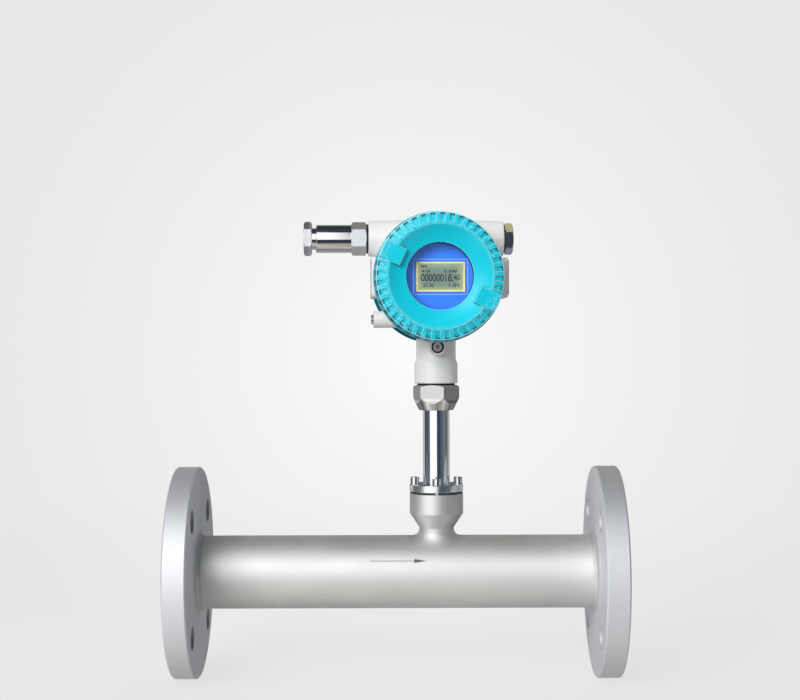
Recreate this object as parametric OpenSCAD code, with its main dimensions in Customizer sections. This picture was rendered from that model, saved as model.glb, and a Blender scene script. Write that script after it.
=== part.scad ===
// Flanged thermal mass flow meter: a straight measuring pipe between two flanges,
// a welded boss that carries the sensor stem, and a round two-sided head with a display.
// The origin is the centre of the inlet sealing face. +X runs with the flow and +Z is up.
// The head looks along -Y.

/* [Measuring pipe] */
// Length between the two sealing faces
face_to_face = 350; // [320:5:500]
// Outside diameter of the measuring pipe
pipe_od = 57; // [54:0.5:60]
// Wall thickness of the measuring pipe
pipe_wall = 3.5; // [2.5:0.25:4.5]
// Distance from the inlet sealing face to the sensor axis
sensor_x = 206; // [140:1:220]

/* [Flanges] */
// Outside diameter of each flange
flange_od = 165; // [158:1:180]
// Thickness of the rim behind the raised face
rim_t = 18; // [14:1:24]
// Height of the raised sealing face
raised_face_h = 2; // [1:0.5:3]
// Distance from the bolt circle to the edge of the flange
bolt_edge = 20; // [18:0.5:24]
// Diameter of each bolt hole
bolt_hole_d = 18; // [14:1:18]
// Distance from the bolt holes to the edge of the raised face
raised_face_margin = 2.5; // [1:0.25:8]
// Number of bolt holes in each flange
bolt_count = 4; // [4:4:8]
// Width of the broken edge around the rim
flange_edge = 1; // [0.5:0.25:2]
// How far the pipe end stands back from the sealing face
pipe_recess = 4.5; // [3:0.5:8]
// Length of the outer weld along the pipe
weld_leg = 5; // [3:0.5:8]
// Height of the outer weld up the back of the flange
weld_rise = 4; // [2:0.5:6]

/* [Sensor boss] */
// Diameter of the boss top, the gasket and the sensor flange
boss_d = 42; // [42:0.5:48]
// Height of the boss above the top of the pipe
boss_h = 33.4; // [31:0.2:45]
// Height of the straight top part of the boss
boss_top_h = 15.7; // [13:0.1:16]
// Height of the cone below the top part
boss_cone_h = 11.4; // [8:0.1:12]
// Diameter of the neck under the cone
boss_neck_d = 27; // [24:0.5:30]
// Size of the weld fillet between neck and pipe
boss_fillet = 5; // [3:0.5:6]
// Thickness of the gasket between boss and sensor flange
gasket_t = 1.1; // [0.8:0.1:2]
// Width of the locating key at the front of the gasket
key_w = 2; // [1:0.5:4]
// Depth of the locating key
key_depth = 1; // [0.6:0.1:1]
// Circle on which the flange screws stand
screw_circle_d = 34; // [32.4:0.2:34.2]
// Length of each flange screw below its head
screw_len = 17; // [14:1:19]

/* [Sensor] */
// Thickness of the sensor flange
sensor_flange_t = 6; // [4:0.5:10]
// Outside diameter of the stem
stem_d = 21; // [19:0.5:22]
// Wall thickness of the stem
stem_wall = 2; // [1:0.25:2.25]
// Length of stem between the sensor flange and the hexagon
stem_h = 58; // [40:1:120]
// Outside diameter of the probe tube
probe_d = 16; // [14:0.5:17]
// Wall thickness of the probe tube
probe_wall = 2; // [1:0.25:2]
// How far the probe tube ends above the pipe axis
probe_end_z = 12; // [10:1:20]
// Diameter of the heated pin
heated_pin_d = 5; // [3:0.25:5]
// How far the heated pin reaches below the pipe axis
heated_pin_drop = 12; // [0:1:14]
// Diameter of the reference pin
reference_pin_d = 4; // [3:0.25:5]
// How far the reference pin reaches below the pipe axis
reference_pin_drop = 8; // [0:1:14]
// Distance between the two pins
pin_pitch = 10; // [8:0.5:10]
// Diameter of the sensor lead
lead_d = 5.2; // [3:0.2:6]

/* [Hexagon coupling] */
// Width across the flats
hex_af = 32; // [30:0.5:36]
// Height of the hexagon
hex_h = 19.7; // [14:0.1:24]
// Turn of the hexagon about the stem
hex_turn = 18; // [0:0.5:60]
// Diameter of the turned cone at its lower end
hex_foot_d = 26.6; // [25:0.2:30]
// Height at which the cone meets the corners
hex_cone_h = 9.9; // [6:0.1:12]
// Depth of the socket for the stem
stem_socket = 8; // [5:1:12]
// Diameter of the spigot that the head turns on
spigot_d = 24; // [20:0.5:25]
// Length of the spigot
spigot_h = 36; // [34:0.5:36]
// Bore for the sensor lead
lead_bore_d = 12; // [8:0.5:14]
// Diameter of the sealing ring under the head
neck_seal_d = 29.5; // [27:0.5:31]
// Thickness of the sealing ring under the head
neck_seal_t = 1.2; // [0.8:0.1:3]

/* [Head] */
// Turn of the head about the sensor axis
head_turn = 3; // [-90:1:90]
// Height of the head axis above the foot of the neck
head_rise = 82; // [80:1:110]
// Diameter of the head body between the covers
body_d = 92; // [91:0.5:94]
// Distance between the two cover seats
body_w = 64; // [58:1:80]
// Diameter of the rims beside the covers
body_rim_d = 96; // [94.5:0.5:99]
// Width of the rims beside the covers
body_rim_w = 5; // [3:0.5:8]
// Diameter of the two compartments
room_d = 78; // [76:0.5:80]
// Diameter of the threaded collars under the covers
collar_d = 88; // [87:0.5:89]
// Length of the threaded collars
collar_h = 13.7; // [12:0.1:15]
// Distance from the middle of the head to the front face of the partition
partition_y = 14; // [12:0.5:16]
// Thickness of the partition
partition_t = 4; // [3:0.5:5]
// Diameter of the neck
neck_d = 31; // [30:0.5:32.5]
// Diameter of the lower part of the neck
neck_foot_d = 33.8; // [33:0.2:36]
// Height of the lower part of the neck
neck_foot_h = 15.5; // [10:0.5:20]
// Height of the lock screw above the foot of the neck
lock_rise = 28.5; // [26:0.5:29]
// Diameter of the boss around the lock screw
lock_boss_d = 13.2; // [12:0.2:15]
// How far the lock boss reaches in front of the sensor axis
lock_reach = 20.5; // [19:0.5:24]
// Diameter of the recess in the lock boss
lock_recess_d = 9.8; // [9:0.2:10]
// Depth of the recess in the lock boss
lock_recess_h = 5; // [4:0.5:5]

/* [Conduit entries and pads] */
// Height of the conduit axis above the head axis
conduit_rise = 31.5; // [30:0.5:33]
// Distance from the sensor axis to the end of each conduit boss
conduit_reach = 53; // [52:0.5:60]
// Diameter of each conduit boss at its end
conduit_boss_d = 27.6; // [26:0.2:28.6]
// Diameter of each conduit boss at the middle of the head
conduit_root_d = 31; // [29:0.5:33]
// Diameter of the thread in each conduit entry
conduit_thread_d = 20; // [18:0.5:21]
// Length of that thread
conduit_thread_h = 12; // [10:0.5:16]
// Bore from each conduit entry into the rear compartment
conduit_bore_d = 15; // [12:0.5:16]
// Distance from the sensor axis to the face of the left pad
left_pad_x = 51; // [49:0.5:56]
// Distance from the sensor axis to the face of the right pad
right_pad_x = 54.8; // [50:0.2:57]
// Height of the two side pads
pad_h = 31; // [26:0.5:32]
// Depth of the two side pads
pad_w = 40; // [30:1:44]
// Corner radius of the pads
pad_corner = 3; // [1:0.5:6]
// Distance from the head axis to the earth boss below it
earth_drop = 31.8; // [30:0.2:34]
// Distance from the sensor axis to the end of the earth boss
earth_reach = 49; // [46:0.5:54]
// Diameter of the earth boss
earth_boss_d = 13; // [11:0.5:15]

/* [Covers] */
// Largest diameter of each cover
cover_d = 100.4; // [99.5:0.1:104]
// Diameter of the cover where its side meets the chamfer
cover_front_d = 92.6; // [91.6:0.2:95]
// Depth of the cover from its seat to its rim
cover_h = 24; // [23:0.5:30]
// Height of the straight band at the seat
cover_band_h = 3; // [2:0.5:6]
// Height of the chamfer at the rim
cover_chamfer_h = 3; // [2:0.2:4]
// Outside diameter of the flat rim land
land_outer_d = 82; // [81:0.5:84]
// Inside diameter of the flat rim land
land_inner_d = 78; // [75:0.5:79]
// Depth of the dish below the rim
dish_h = 6; // [4:0.5:6.5]
// Number of places for grip teeth around the cover
tooth_count = 40; // [24:4:48]
// Turn of the teeth against the lugs
tooth_phase = 1; // [-4:0.5:4]
// Width of the grooves between two teeth
groove_w = 3.4; // [2:0.2:4]
// Depth of the grooves in the side, behind the ridge
side_groove_depth = 1.3; // [0.8:0.1:1.6]
// Depth of the grooves in the chamfer, at the ridge
chamfer_groove_depth = 1.6; // [1:0.1:2]
// Width of the plain ridge between the two rows of grooves
ridge_w = 0.9; // [0.6:0.1:2]
// Length of the plain ridge along the side
ridge_h = 2.6; // [2.2:0.2:5]
// Angle of the first wrench lug
lug_angle = 154; // [0:1:180]
// Width of each wrench lug
lug_w = 13.4; // [8:0.2:16]
// Distance from the axis to the inner end of a lug
lug_inner_r = 30; // [28:0.5:34]
// Thickness of the wall behind the blind cover's dish
blind_wall = 3; // [2:0.5:4]
// Thickness of the sealing rings behind the covers
cover_seal_t = 2.6; // [2:0.2:3]

/* [Window and display] */
// Diameter of the window opening
window_d = 51.4; // [46:0.2:54]
// Diameter of the window glass
glass_d = 58; // [57:0.2:60]
// Thickness of the window glass
glass_t = 5; // [3:0.5:5.5]
// Thickness of the lip in front of the glass gasket
window_lip_t = 2; // [1.5:0.25:3]
// Thickness of the glass gasket
glass_gasket_t = 1; // [0.5:0.25:2]
// Thickness of the threaded retaining ring
retainer_t = 2.6; // [2:0.2:3]
// Wall of the tube that holds the glass
glass_tube_wall = 3.9; // [2:0.1:5]
// Distance from the middle of the head to the front of the dial
dial_y = 36.5; // [34:0.5:36.5]
// Diameter of the dial
dial_d = 73; // [72:0.5:75]
// Thickness of the dial
dial_t = 1.2; // [0.8:0.1:2]
// Width of the display bezel
bezel_w = 37.4; // [30:0.2:40]
// Height of the display bezel
bezel_h = 22.8; // [18:0.2:26]
// Width of the bezel's border
bezel_border = 1.3; // [1:0.1:3]
// How far the display stands to the right of the head axis
display_shift = 1.2; // [-2:0.1:2]
// Diameter of the two circuit boards
board_d = 75; // [74:0.5:76]
// Thickness of the circuit boards
board_t = 1.6; // [1:0.2:2]
// Gap from the partition to the main board
main_board_gap = 6; // [4:0.5:7]
// Gap from the main board to the display board
display_board_gap = 7.4; // [6:0.2:8]
// Distance of the board posts from the head axis
post_r = 34; // [33.5:0.1:34.5]
// Width across the flats of the board posts
post_af = 5; // [4:0.5:5]

/* [Terminals] */
// Width of the terminal block
terminal_w = 44; // [40:1:48]
// Depth of the terminal block
terminal_depth = 16; // [12:1:20]
// Height of the terminal block
terminal_h = 24; // [20:1:26]
// Height of its underside above the bottom of the rear compartment
terminal_rise = 17; // [15:0.5:20]
// Number of terminals
terminal_count = 8; // [2:1:8]
// Distance between two terminals
terminal_pitch = 5; // [5:0.1:5.2]

/* [Cable gland and plug] */
// Hexagon of the gland body, across the flats
gland_af = 22.8; // [21:0.2:24]
// Length of the gland hexagon
gland_hex_h = 11.8; // [8:0.2:14]
// Thickness of the gland's sealing ring
gland_seal_t = 1.5; // [1:0.1:2.5]
// Diameter of the gland barrel
barrel_d = 21.6; // [20:0.2:22.4]
// Length of the gland barrel
barrel_h = 27.6; // [26:0.2:36]
// Diameter of the compression sleeve
sleeve_d = 16.7; // [15:0.1:17]
// Visible length of the compression sleeve
sleeve_gap = 3.2; // [2:0.2:6]
// Hexagon of the gland nut, across the flats
gland_nut_af = 23.2; // [20:0.2:25]
// Length of the gland nut
gland_nut_h = 6.4; // [4:0.2:10]
// Hole through the rubber insert, for the cable
cable_hole_d = 9; // [6:0.5:10]
// Length of the rubber insert
insert_h = 12.5; // [8:0.5:14]
// Hole through the gland nut and washer
nut_hole_d = 11; // [10:0.5:12]
// Thickness of the slip washer on the insert
gland_washer_t = 1.5; // [1:0.1:2]
// Hexagon of the blanking plug, across the flats
plug_af = 21.5; // [21:0.1:24]
// Thickness of the plug's hexagon
plug_hex_h = 6.5; // [4:0.5:10]
// Turn of the plug's hexagon
plug_turn = 8; // [0:1:60]
// Thickness of the plug's sealing ring
plug_seal_t = 1; // [0.6:0.1:2]

/* [Fixings] */
// Diameter of the flange screws
screw_d = 4; // [3:0.5:4.5]
// Diameter of their heads
screw_head_d = 7; // [6:0.5:7.5]
// Height of their heads
screw_head_h = 5; // [4:0.5:6]
// Diameter of the neck lock screw
lock_screw_d = 4; // [4:0.5:5]
// Diameter of its head
lock_head_d = 7; // [6:0.5:8]
// Height of its head
lock_head_h = 3.6; // [3:0.2:5]
// Thickness of the plain side plate
plate_t = 1.2; // [0.8:0.1:2]
// Height of the side plate
plate_h = 27; // [18:0.5:27]
// Depth of the side plate
plate_w = 33; // [24:1:36]
// Diameter of the rivet heads on the side plate
rivet_d = 3.8; // [3:0.2:5]
// Height of the rivet heads
rivet_h = 1; // [0.6:0.1:1.6]
// Diameter of the earth screw
earth_screw_d = 4; // [3:0.5:5]
// Diameter of the earth screw's head
earth_head_d = 7; // [6:0.5:9]
// Height of the earth screw's head
earth_head_h = 1.4; // [1:0.2:3]
// Thickness of the washer under the earth screw
earth_washer_t = 0.6; // [0.4:0.1:1.2]

/* [Clearances] */
// Gap around a shaft that turns or is screwed in its bore
running_gap = 0.05; // [0.02:0.01:0.1]
// Gap between parts that move past each other
free_gap = 0.3; // [0.2:0.05:0.5]
// Gap between the flange bore and the pipe
slip_gap = 0.5; // [0.25:0.05:0.8]
// Gap around the probe tube in the boss
probe_gap = 1; // [0.5:0.1:1.5]

/* [Hidden] */
$fn = 96;

// One overrun serves all cuts
overrun = 1;
// Steps along a rounded outline
arc_steps = 6;
// Steps around and across the boss weld
weld_around = 48;
// Angle at which a weld's toe leaves the surface that it joins
weld_toe = 12;

// Heights of the stack on the sensor axis
pipe_r = pipe_od / 2;
pipe_bore_d = pipe_od - 2 * pipe_wall;
boss_top_z = pipe_r + boss_h;
sensor_flange_z = boss_top_z + gasket_t;
stem_z = sensor_flange_z + sensor_flange_t;
hex_z = stem_z + stem_h;
seat_z = hex_z + hex_h;
neck_z = seat_z + neck_seal_t + 2 * running_gap;
head_z = neck_z + head_rise;
conduit_z = head_z + conduit_rise;
lock_z = neck_z + lock_rise;
earth_z = head_z - earth_drop;

// Flange
flange_t = rim_t + raised_face_h;
bolt_circle_d = flange_od - 2 * bolt_edge;
raised_face_d = bolt_circle_d - bolt_hole_d - 2 * raised_face_margin;
flange_bore_d = pipe_od + 2 * slip_gap;

// Boss and sensor
boss_bore_d = probe_d + 2 * probe_gap;
boss_edge = 0.6;
gasket_inset = 0.4;
gasket_bore_d = boss_bore_d + 2 * gasket_inset;
screw_pass_d = screw_d + 2 * running_gap;
screw_socket_af = 3;
screw_socket_h = 2.2;
pin_tip_share = 0.5;
lead_plug_d = 9;
lead_plug_h = 8;

// Spigot and the groove for the tip of the lock screw
lock_groove_depth = 2;
lock_groove_h = lock_screw_d + 2 * free_gap;
neck_bore_d = spigot_d + 2 * running_gap;
neck_bore_top_z = seat_z + spigot_h + free_gap;
neck_passage_d = lead_bore_d + 2 * free_gap;
neck_blend = 3.2;
lock_rib_top_w = 24;
lock_rib_h = 12;

// Head
collar_seat_y = body_w / 2 - free_gap;
collar_end_y = collar_seat_y + collar_h;
collar_edge = 0.8;
rim_blend = 2;
pad_z = conduit_z - conduit_root_d / 2 - pad_h / 2;
pad_root_x = room_d / 2;
conduit_relief = 3;

// Cover fits on the collar
cover_bore_d = collar_d + 2 * running_gap;
seal_groove_y = 1.2;
seal_groove_w = cover_seal_t + 4 * running_gap;
seal_groove_d = cover_bore_d - 2 * cover_seal_t - 4 * running_gap;
dish_z = cover_h - dish_h;
// Share of the way inward and down at which the dish bends
dish_bend_shares = [0.41, 0.68];
glass_front_z = dish_z - window_lip_t - glass_gasket_t;
glass_back_z = glass_front_z - glass_t;
glass_tube_end_z = glass_back_z - retainer_t;
glass_seat_d = glass_d + 2 * running_gap;
glass_tube_d = glass_seat_d + 2 * glass_tube_wall;
lug_slope = 1.2;
lug_edge = 1.2;
retainer_slot_w = 3;
retainer_slot_h = 1.2;

// Display stack, as distances in front of the middle of the head
main_board_y = partition_y + main_board_gap;
display_board_y = main_board_y + board_t + display_board_gap;
display_front_y = display_board_y + board_t;
dial_back_y = dial_y - dial_t;
bezel_proud = 0.8;
panel_inset = 0.5;
bezel_pocket_gap = 0.2;
stud_d = 3;
dial_screw_d = 2.5;
dial_screw_h = 3;
dial_screw_head_d = 4;
dial_screw_head_h = 1.2;
post_angle = 45;
feedthrough_d = 14;
header_w = 24;
header_t = 5;
header_drop = 22;
chip_w = 14;
chip_h = 3;

// Terminal block
terminal_z = head_z - room_d / 2 + terminal_rise;
terminal_y = partition_t - partition_y;
terminal_step_h = 9;
terminal_step_depth = 6;
terminal_screw_d = 4;
terminal_screw_h = 1.6;
terminal_well_d = 4.4;
terminal_well_h = 3;
terminal_rib_w = 0.8;
wire_slot_w = 3;
wire_slot_h = 4;
wire_slot_depth = 5;
ear_w = 7;
ear_h = 10;
ear_t = 4;
ear_screw_d = 3;
ear_head_d = 5.5;
ear_head_h = 2;

// Gland, as distances outside the end of the conduit boss
insert_seat = 1.6;
gland_hex_end = gland_seal_t + gland_hex_h;
barrel_end = gland_hex_end + barrel_h;
insert_start = gland_hex_end + insert_seat;
insert_end = insert_start + insert_h;
washer_start = insert_end + running_gap;
washer_end = washer_start + gland_washer_t;
sleeve_start = washer_end + 2 * running_gap;
nut_start = barrel_end + sleeve_gap;
barrel_bore_d = sleeve_d + 2 * running_gap;
insert_d = sleeve_d;
gland_inner_d = cable_hole_d + 2 * free_gap;
nut_mouth = 1.5;
thread_tip = 1;

// Points of a quarter of an ellipse that hollows the corner at [x, y] out to [x + a, y + b]
function hollow_corner(x, y, a, b) = [
  for (i = [0 : arc_steps])
    let (t = weld_toe + i * (90 - 2 * weld_toe) / arc_steps)
    [x + a * (1 - sin(t)), y + b * (1 - cos(t))]
];
// Points of a curve from p to r that bends towards q
function bend(p, q, r) = [
  for (i = [0 : arc_steps])
    let (t = i / arc_steps)
    (1 - t) * (1 - t) * p + 2 * t * (1 - t) * q + t * t * r
];
// The same outline turned over, with its second coordinate reversed
function turned_over(points) = [for (i = [len(points) - 1 : -1 : 0]) [points[i][0], -points[i][1]]];

// Turns children so that their own z axis runs with the flow
module along_flow() {
  rotate([0, 90, 0]) children();
}

// Places children on the sensor axis
module on_sensor_axis() {
  translate([sensor_x, 0, 0]) children();
}

// Places children in the head, turned with it
module in_head() {
  on_sensor_axis() rotate([0, 0, head_turn]) children();
}

// Own z axis runs forward from the middle of the head, own y axis is up
module forward() {
  translate([0, 0, head_z]) rotate([90, 0, 0]) children();
}

// Own z axis runs forward from the seat of the front cover
module at_front_seat() {
  translate([0, -body_w / 2, 0]) forward() children();
}

// Own z axis runs backward from the seat of the rear cover
module at_rear_seat() {
  rotate([0, 0, 180]) at_front_seat() children();
}

// Own z axis runs outward from the end of the left conduit boss
module at_left_entry() {
  translate([-conduit_reach, 0, conduit_z]) rotate([0, -90, 0]) children();
}

// Own z axis runs outward from the end of the right conduit boss
module at_right_entry() {
  translate([conduit_reach, 0, conduit_z]) rotate([0, 90, 0]) children();
}

// Copies children evenly around the z axis
module around(count, radius, start = 0) {
  for (i = [0 : count - 1])
    rotate([0, 0, start + i * 360 / count])
      translate([radius, 0, 0]) children();
}

// Upright ring
module ring(outer_d, inner_d, h) {
  difference() {
    cylinder(d = outer_d, h = h);
    translate([0, 0, -overrun]) cylinder(d = inner_d, h = h + 2 * overrun);
  }
}

// Hexagon bar with turned corners at both ends
module hex_bar(af, h) {
  corner = af / 2 / cos(30);
  rise = (corner + overrun - af / 2) * tan(30);
  intersection() {
    cylinder(r = corner, h = h, $fn = 6);
    rotate_extrude()
      polygon([
        [0, 0], [af / 2, 0], [corner + overrun, rise],
        [corner + overrun, h - rise], [af / 2, h], [0, h]
      ]);
  }
}

// Flat plate with rounded corners, centred on its own x and y axes
module rounded_plate(w, h, t, corner) {
  linear_extrude(t) {
    square([w - 2 * corner, h], center = true);
    square([w, h - 2 * corner], center = true);
    for (x = [-1, 1], y = [-1, 1])
      translate([x * (w / 2 - corner), y * (h / 2 - corner)]) circle(r = corner);
  }
}

// Cap screw whose head stands on z = 0 and whose shank points down
module cap_screw(shank_d, shank_h, head_d, head_h, socket_af, socket_h) {
  difference() {
    union() {
      cylinder(d = head_d, h = head_h);
      translate([0, 0, -shank_h]) cylinder(d = shank_d, h = shank_h + head_h / 2);
    }
    translate([0, 0, head_h - socket_h])
      cylinder(r = socket_af / 2 / cos(30), h = socket_h + overrun, $fn = 6);
  }
}

// Flange with its sealing face on z = 0 and its back at z = flange_t
module flange() {
  difference() {
    rotate_extrude()
      polygon([
        [flange_bore_d / 2, 0],
        [raised_face_d / 2 - flange_edge / 2, 0],
        [raised_face_d / 2, flange_edge / 2],
        [raised_face_d / 2, raised_face_h],
        [flange_od / 2 - flange_edge, raised_face_h],
        [flange_od / 2, raised_face_h + flange_edge],
        [flange_od / 2, flange_t - flange_edge],
        [flange_od / 2 - flange_edge, flange_t],
        [flange_bore_d / 2, flange_t]
      ]);
    around(bolt_count, bolt_circle_d / 2, 180 / bolt_count)
      translate([0, 0, -overrun]) cylinder(d = bolt_hole_d, h = flange_t + 2 * overrun);
  }
}

// Two weld rings of one flange: the fillet behind it and the seam at the pipe end
module flange_weld_pair() {
  rotate_extrude()
    polygon(concat([[pipe_r, flange_t]], hollow_corner(pipe_r, flange_t, weld_rise, weld_leg)));
  rotate_extrude()
    polygon([
      [pipe_bore_d / 2 + slip_gap, pipe_recess],
      [flange_bore_d / 2, pipe_recess - pipe_wall],
      [flange_bore_d / 2, pipe_recess]
    ]);
}

module measuring_pipe() {
  color("lightgray")
    difference() {
      translate([pipe_recess, 0, 0])
        along_flow() ring(pipe_od, pipe_bore_d, face_to_face - 2 * pipe_recess);
      on_sensor_axis() cylinder(d = boss_bore_d, h = pipe_od);
    }
}

module inlet_flange() {
  color("silver") along_flow() flange();
}

module outlet_flange() {
  color("silver") translate([face_to_face, 0, 0]) mirror([1, 0, 0]) along_flow() flange();
}

module flange_welds() {
  color("gainsboro") {
    along_flow() flange_weld_pair();
    translate([face_to_face, 0, 0]) mirror([1, 0, 0]) along_flow() flange_weld_pair();
  }
}

module sensor_boss() {
  cone_top_z = boss_top_z - boss_top_h;
  color("silver")
    on_sensor_axis() {
      difference() {
        rotate_extrude()
          polygon([
            [boss_bore_d / 2, 0],
            [boss_neck_d / 2, 0],
            [boss_neck_d / 2, cone_top_z - boss_cone_h],
            [boss_d / 2, cone_top_z],
            [boss_d / 2, boss_top_z - boss_edge],
            [boss_d / 2 - boss_edge, boss_top_z],
            [boss_bore_d / 2, boss_top_z]
          ]);
        translate([-boss_d, 0, 0]) along_flow() cylinder(d = pipe_od, h = 2 * boss_d);
        around(4, screw_circle_d / 2)
          translate([0, 0, sensor_flange_z + sensor_flange_t - screw_len - thread_tip])
            cylinder(d = screw_pass_d, h = screw_len + 2 * overrun);
      }
      translate([-key_w / 2, -boss_d / 2 + gasket_inset, boss_top_z - boss_edge])
        cube([key_w, key_depth, gasket_t + boss_edge]);
    }
}

// Hollow weld between the neck and the pipe, swept around the neck
module boss_weld() {
  neck_r = (boss_neck_d / 2 + running_gap) / cos(180 / weld_around);
  skin_r = pipe_r + running_gap;
  section = concat([[0, 0]], hollow_corner(0, 0, boss_fillet, boss_fillet));
  n = len(section);
  points = [
    for (i = [0 : weld_around - 1], s = section)
      let (a = i * 360 / weld_around, r = neck_r + s[0], y = r * sin(a))
      [r * cos(a), y, sqrt(pow(skin_r, 2) - y * y) + s[1]]
  ];
  faces = [
    for (i = [0 : weld_around - 1], j = [0 : n - 1])
      let (i2 = (i + 1) % weld_around, j2 = (j + 1) % n)
      each [
        [i * n + j, i * n + j2, i2 * n + j2],
        [i * n + j, i2 * n + j2, i2 * n + j]
      ]
  ];
  color("gainsboro") on_sensor_axis() polyhedron(points, faces);
}

module boss_gasket() {
  color("black")
    on_sensor_axis() translate([0, 0, boss_top_z])
      difference() {
        ring(boss_d - 2 * gasket_inset, gasket_bore_d, gasket_t);
        around(4, screw_circle_d / 2)
          translate([0, 0, -overrun]) cylinder(d = screw_pass_d, h = gasket_t + 2 * overrun);
        translate([-key_w / 2 - running_gap, -boss_d / 2 - overrun, -overrun])
          cube([
            key_w + 2 * running_gap,
            overrun + gasket_inset + key_depth + running_gap,
            gasket_t + 2 * overrun
          ]);
      }
}

module sensor_flange() {
  color("lightsteelblue")
    on_sensor_axis() translate([0, 0, sensor_flange_z])
      difference() {
        rotate_extrude()
          polygon([
            [probe_d / 2, 0],
            [boss_d / 2 - boss_edge, 0],
            [boss_d / 2, boss_edge],
            [boss_d / 2, sensor_flange_t - boss_edge],
            [boss_d / 2 - boss_edge, sensor_flange_t],
            [probe_d / 2, sensor_flange_t]
          ]);
        around(4, screw_circle_d / 2)
          translate([0, 0, -overrun]) cylinder(d = screw_pass_d, h = sensor_flange_t + 2 * overrun);
      }
}

module sensor_flange_screws() {
  color("silver")
    on_sensor_axis() translate([0, 0, stem_z])
      around(4, screw_circle_d / 2)
        cap_screw(screw_d, screw_len, screw_head_d, screw_head_h, screw_socket_af, screw_socket_h);
}

module sensor_stem() {
  color("lightsteelblue")
    on_sensor_axis() translate([0, 0, stem_z])
      ring(stem_d, stem_d - 2 * stem_wall, stem_h + stem_socket);
}

module probe_tube() {
  bottom_z = probe_end_z;
  color("silver")
    on_sensor_axis() translate([0, 0, bottom_z])
      difference() {
        cylinder(d = probe_d, h = stem_z - bottom_z);
        translate([0, 0, probe_wall]) cylinder(d = probe_d - 2 * probe_wall, h = stem_z);
        translate([-pin_pitch / 2, 0, -overrun]) cylinder(d = heated_pin_d, h = probe_d);
        translate([pin_pitch / 2, 0, -overrun]) cylinder(d = reference_pin_d, h = probe_d);
      }
}

// Closed pin with a rounded tip, from the inside of the probe tube down
module probe_pin(d, drop) {
  length = probe_end_z + probe_wall + drop;
  tip = d * pin_tip_share;
  translate([0, 0, -drop])
    rotate_extrude()
      polygon(concat(
        [[0, length], [0, 0]],
        [for (i = [1 : arc_steps]) tip * [sin(i * 90 / arc_steps), 1 - cos(i * 90 / arc_steps)]],
        [[d / 2, length]]
      ));
}

module heated_pin() {
  color("silver")
    on_sensor_axis() translate([-pin_pitch / 2, 0, 0]) probe_pin(heated_pin_d, heated_pin_drop);
}

module reference_pin() {
  color("silver")
    on_sensor_axis() translate([pin_pitch / 2, 0, 0])
      probe_pin(reference_pin_d, reference_pin_drop);
}

module hex_coupling() {
  corner = hex_af / 2 / cos(30);
  top_rise = (corner - hex_af / 2) * tan(30);
  groove_z = lock_z - hex_z;
  color("silver")
    on_sensor_axis() translate([0, 0, hex_z])
      difference() {
        union() {
          rotate([0, 0, hex_turn]) intersection() {
            rotate([0, 0, 30]) cylinder(r = corner, h = hex_h, $fn = 6);
            rotate_extrude()
              polygon([
                [0, 0], [hex_foot_d / 2, 0], [corner, hex_cone_h],
                [corner, hex_h - top_rise], [hex_af / 2, hex_h], [0, hex_h]
              ]);
          }
          rotate_extrude()
            polygon([
              [0, hex_h - overrun],
              [spigot_d / 2, hex_h - overrun],
              [spigot_d / 2, groove_z - lock_groove_h / 2],
              [spigot_d / 2 - lock_groove_depth, groove_z - lock_groove_h / 2],
              [spigot_d / 2 - lock_groove_depth, groove_z + lock_groove_h / 2],
              [spigot_d / 2, groove_z + lock_groove_h / 2],
              [spigot_d / 2, hex_h + spigot_h - boss_edge],
              [spigot_d / 2 - boss_edge, hex_h + spigot_h],
              [0, hex_h + spigot_h]
            ]);
        }
        translate([0, 0, -overrun]) cylinder(d = stem_d, h = stem_socket + overrun);
        cylinder(d = lead_bore_d, h = hex_h + spigot_h + overrun);
      }
}

module neck_seal() {
  color("black")
    on_sensor_axis() translate([0, 0, seat_z])
      ring(neck_seal_d, neck_bore_d, neck_seal_t);
}

// Lead from the foot of the probe tube up to a round plug under the terminal block
module sensor_lead() {
  bottom_z = probe_end_z + probe_wall;
  top_z = terminal_z - free_gap;
  color("dimgray")
    on_sensor_axis() {
      translate([0, 0, bottom_z]) cylinder(d = lead_d, h = top_z - lead_plug_h - bottom_z);
      translate([0, 0, top_z - lead_plug_h]) cylinder(d = lead_plug_d, h = lead_plug_h);
    }
}

// Outline of the head body about its own axis, from the front collar to the rear one
module head_body() {
  groove_top = collar_seat_y + seal_groove_y + seal_groove_w;
  front = [
    [0, collar_end_y],
    [collar_d / 2 - collar_edge, collar_end_y],
    [collar_d / 2, collar_end_y - collar_edge],
    [collar_d / 2, groove_top],
    [seal_groove_d / 2, groove_top],
    [seal_groove_d / 2, collar_seat_y + seal_groove_y],
    [collar_d / 2, collar_seat_y + seal_groove_y],
    [collar_d / 2, collar_seat_y],
    [body_rim_d / 2 - collar_edge, collar_seat_y],
    [body_rim_d / 2, collar_seat_y - collar_edge],
    [body_rim_d / 2, collar_seat_y - body_rim_w],
    [body_d / 2, collar_seat_y - body_rim_w - rim_blend]
  ];
  rotate_extrude() polygon(concat(front, turned_over(front)));
}

// Raised side pad: a rounded block from the body out to the distance x
module side_pad(x) {
  translate([pad_root_x, 0, pad_z]) rotate([90, 0, 90])
    rounded_plate(pad_w, pad_h, x - pad_root_x, pad_corner);
}

module neck_outline() {
  rotate_extrude()
    polygon([
      [0, neck_z],
      [neck_foot_d / 2 - boss_edge, neck_z],
      [neck_foot_d / 2, neck_z + boss_edge],
      [neck_foot_d / 2, neck_z + neck_foot_h],
      [neck_d / 2, neck_z + neck_foot_h + neck_blend],
      [neck_d / 2, head_z - room_d / 2],
      [0, head_z - room_d / 2]
    ]);
}

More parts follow.
